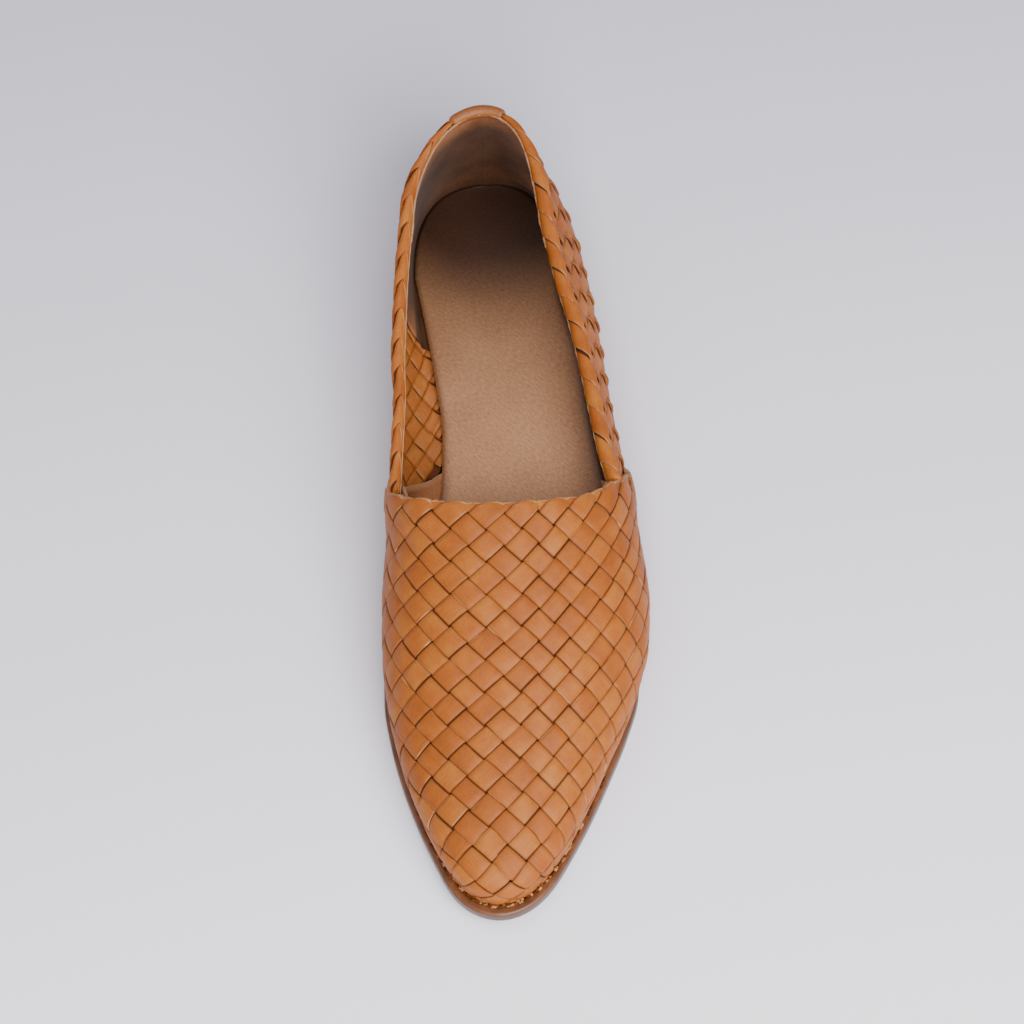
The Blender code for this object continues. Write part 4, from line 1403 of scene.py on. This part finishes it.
def makeInsole():
    own = insoleLook
    turns = own["heelSteps"]
    marks = [(0.0, math.pi / 2 * (1 - k / turns)) for k in range(2, turns)]
    marks += [(station, 0.0) for station in np.linspace(last["heelRound"], own["front"], own["steps"])]
    wide = np.sin(np.linspace(-1, 1, own["across"]) * math.pi / 2)
    upper = []
    for station, angle in marks:
        left, right = insoleEnd(-1, angle, station), insoleEnd(1, angle, station)
        centre, half = (left + right) / 2, (right - left) / 2
        reach = np.linalg.norm(half)
        line = centre + half * max(reach - own["clear"], 0.3) / reach * wide[:, None]
        if angle > 0:
            line[:, 1] += own["clear"] * math.sin(angle) ** 2
        # dished, with a bead along the border and rolled over at the edge
        near = (1 - np.abs(wide)) * reach
        line[:, 2] = insoleHeight(line[:, 1]) - own["dish"] * (1 - wide ** 2) ** 1.5 * math.cos(angle)
        line[:, 2] += own["bead"] * step(40, 80, line[:, 1]) * np.exp(-(near - 1.6) ** 2)
        line[:, 2] -= own["roll"] * (1 - step(0, 0.7, near)) * step(6, 24, line[:, 1])
        upper.append(line)
    upper = np.array(upper)
    stations, across = upper[..., 1], upper[..., 0]
    # the heel's seat and the part in front of it are darkened, partly staining and partly painted shade;
    # the edges get painted shade where the walls meet the insole, and the little toe's side a painted shadow
    # of its wall
    bow = own["seatBow"] * ((across + 1) / own["seatHalf"]) ** 2
    stainAndShade = 0.96 * (1 - step(*own["seatEnd"], stations + bow))
    stainAndShade += 0.5 * (1 - step(*own["sideEnd"], stations)) * (1 - stainAndShade)
    inward = 1 - np.abs(wide)
    border = 0.45 * (1 - step(0.02, 0.16, inward)) + 0.5 * (1 - step(0, 0.5, inward)) * (across > 0)
    stainAndShade = np.clip(np.maximum(stainAndShade, stainAndShade * 0.4 + border), 0, 1)
    piece = makeSheet("insole_leather", upper, upper - (0, 0, own["thickness"]), "insole",
                      makeSmoothLeather("sockLeather", own),
                      {"strip": flatMap(stations, across), "tone": stainAndShade.ravel()})
    piece.data.set_sharp_from_angle(angle=math.radians(50))


makeSole()
makeHeelStack()
makeInsole()

# Floor, light and camera
studio = {"aim": (-0.0005, 0.0011, 0.022), "azimuth": 4.5, "elevation": 62.0, "distance": 1.3, "roll": 6.0,
          "lens": 140.3, "reach": 4.0, "floor": "#fcf9ff", "shadedFarFloor": "#d2cedb", "wall": "#ecebf5",
          "ambient": 0.52,
          "lights": (("windowLight", (0.36, -0.8, 0.92), 1.1, 34.0),
                     ("roomLight", (-0.3, 0.2, 1.9), 1.6, 8.0))}


def makeBackdropPaper():
    # Matt backdrop paper, darker behind the shoe: painted shade, as if less light reached the far floor
    look = studio
    material = newMaterial("backdropPaper")
    spot = addNode(material, "ShaderNodeTexCoord").outputs["Object"]
    across = addNode(material, "ShaderNodeSeparateXYZ", None, Vector=spot).outputs["Y"]
    way = addNode(material, "ShaderNodeMapRange", {"From Min": -0.16, "From Max": 0.24}, Value=across)
    floorShadeTint = addNode(material, "ShaderNodeValToRGB", {"stops": ((0.0, look["floor"]), (1.0, look["shadedFarFloor"]))},
                   Fac=way.outputs[0])
    shader = addNode(material, "ShaderNodeBsdfPrincipled", {"Roughness": 0.75, "IOR": 1.45},
                     Base_Color=floorShadeTint.outputs[0])
    addNode(material, "ShaderNodeOutputMaterial", None, Surface=shader.outputs[0])
    return material


def makeStudio():
    look = studio
    scene = bpy.context.scene
    mesh = bpy.data.meshes.new("floor")
    corners = ((-1, -1), (1, -1), (1, 1), (-1, 1))
    mesh.from_pydata([(look["reach"] * x, look["reach"] * y, 0) for x, y in corners], [], [(0, 1, 2, 3)])
    mesh.materials.append(makeBackdropPaper())
    floor = bpy.data.objects.new("floor", mesh)
    scene.collection.objects.link(floor)
    azimuth, elevation, roll = (math.radians(look[key]) for key in ("azimuth", "elevation", "roll"))
    back = np.array((math.sin(azimuth) * math.cos(elevation), -math.cos(azimuth) * math.cos(elevation),
                     math.sin(elevation)))
    right = np.cross((0, 0, 1), back)
    right /= np.linalg.norm(right)
    up = np.cross(back, right)
    matrix = np.eye(4)
    matrix[:3, 0] = math.cos(roll) * right - math.sin(roll) * up
    matrix[:3, 1] = math.sin(roll) * right + math.cos(roll) * up
    matrix[:3, 2] = back
    matrix[:3, 3] = np.array(look["aim"]) + look["distance"] * back
    data = bpy.data.cameras.new("camera")
    data.lens = look["lens"]
    data.sensor_width = 36
    data.clip_end = 20
    camera = bpy.data.objects.new("camera", data)
    camera.matrix_world = Matrix(matrix.tolist())
    scene.collection.objects.link(camera)
    scene.camera = camera
    world = bpy.data.worlds.new("softRoom")
    world.use_nodes = True
    background = world.node_tree.nodes["Background"]
    background.inputs["Color"].default_value = toLinear(look["wall"])
    background.inputs["Strength"].default_value = look["ambient"]
    scene.world = world
    for name, position, size, power in look["lights"]:
        light = bpy.data.lights.new(name, "AREA")
        light.size = size
        light.energy = power
        lamp = bpy.data.objects.new(name, light)
        lamp.location = position
        lamp.rotation_euler = (-Vector(position)).to_track_quat("-Z", "Y").to_euler()
        scene.collection.objects.link(lamp)
    print("floor, camera and lights are in place")


makeStudio()
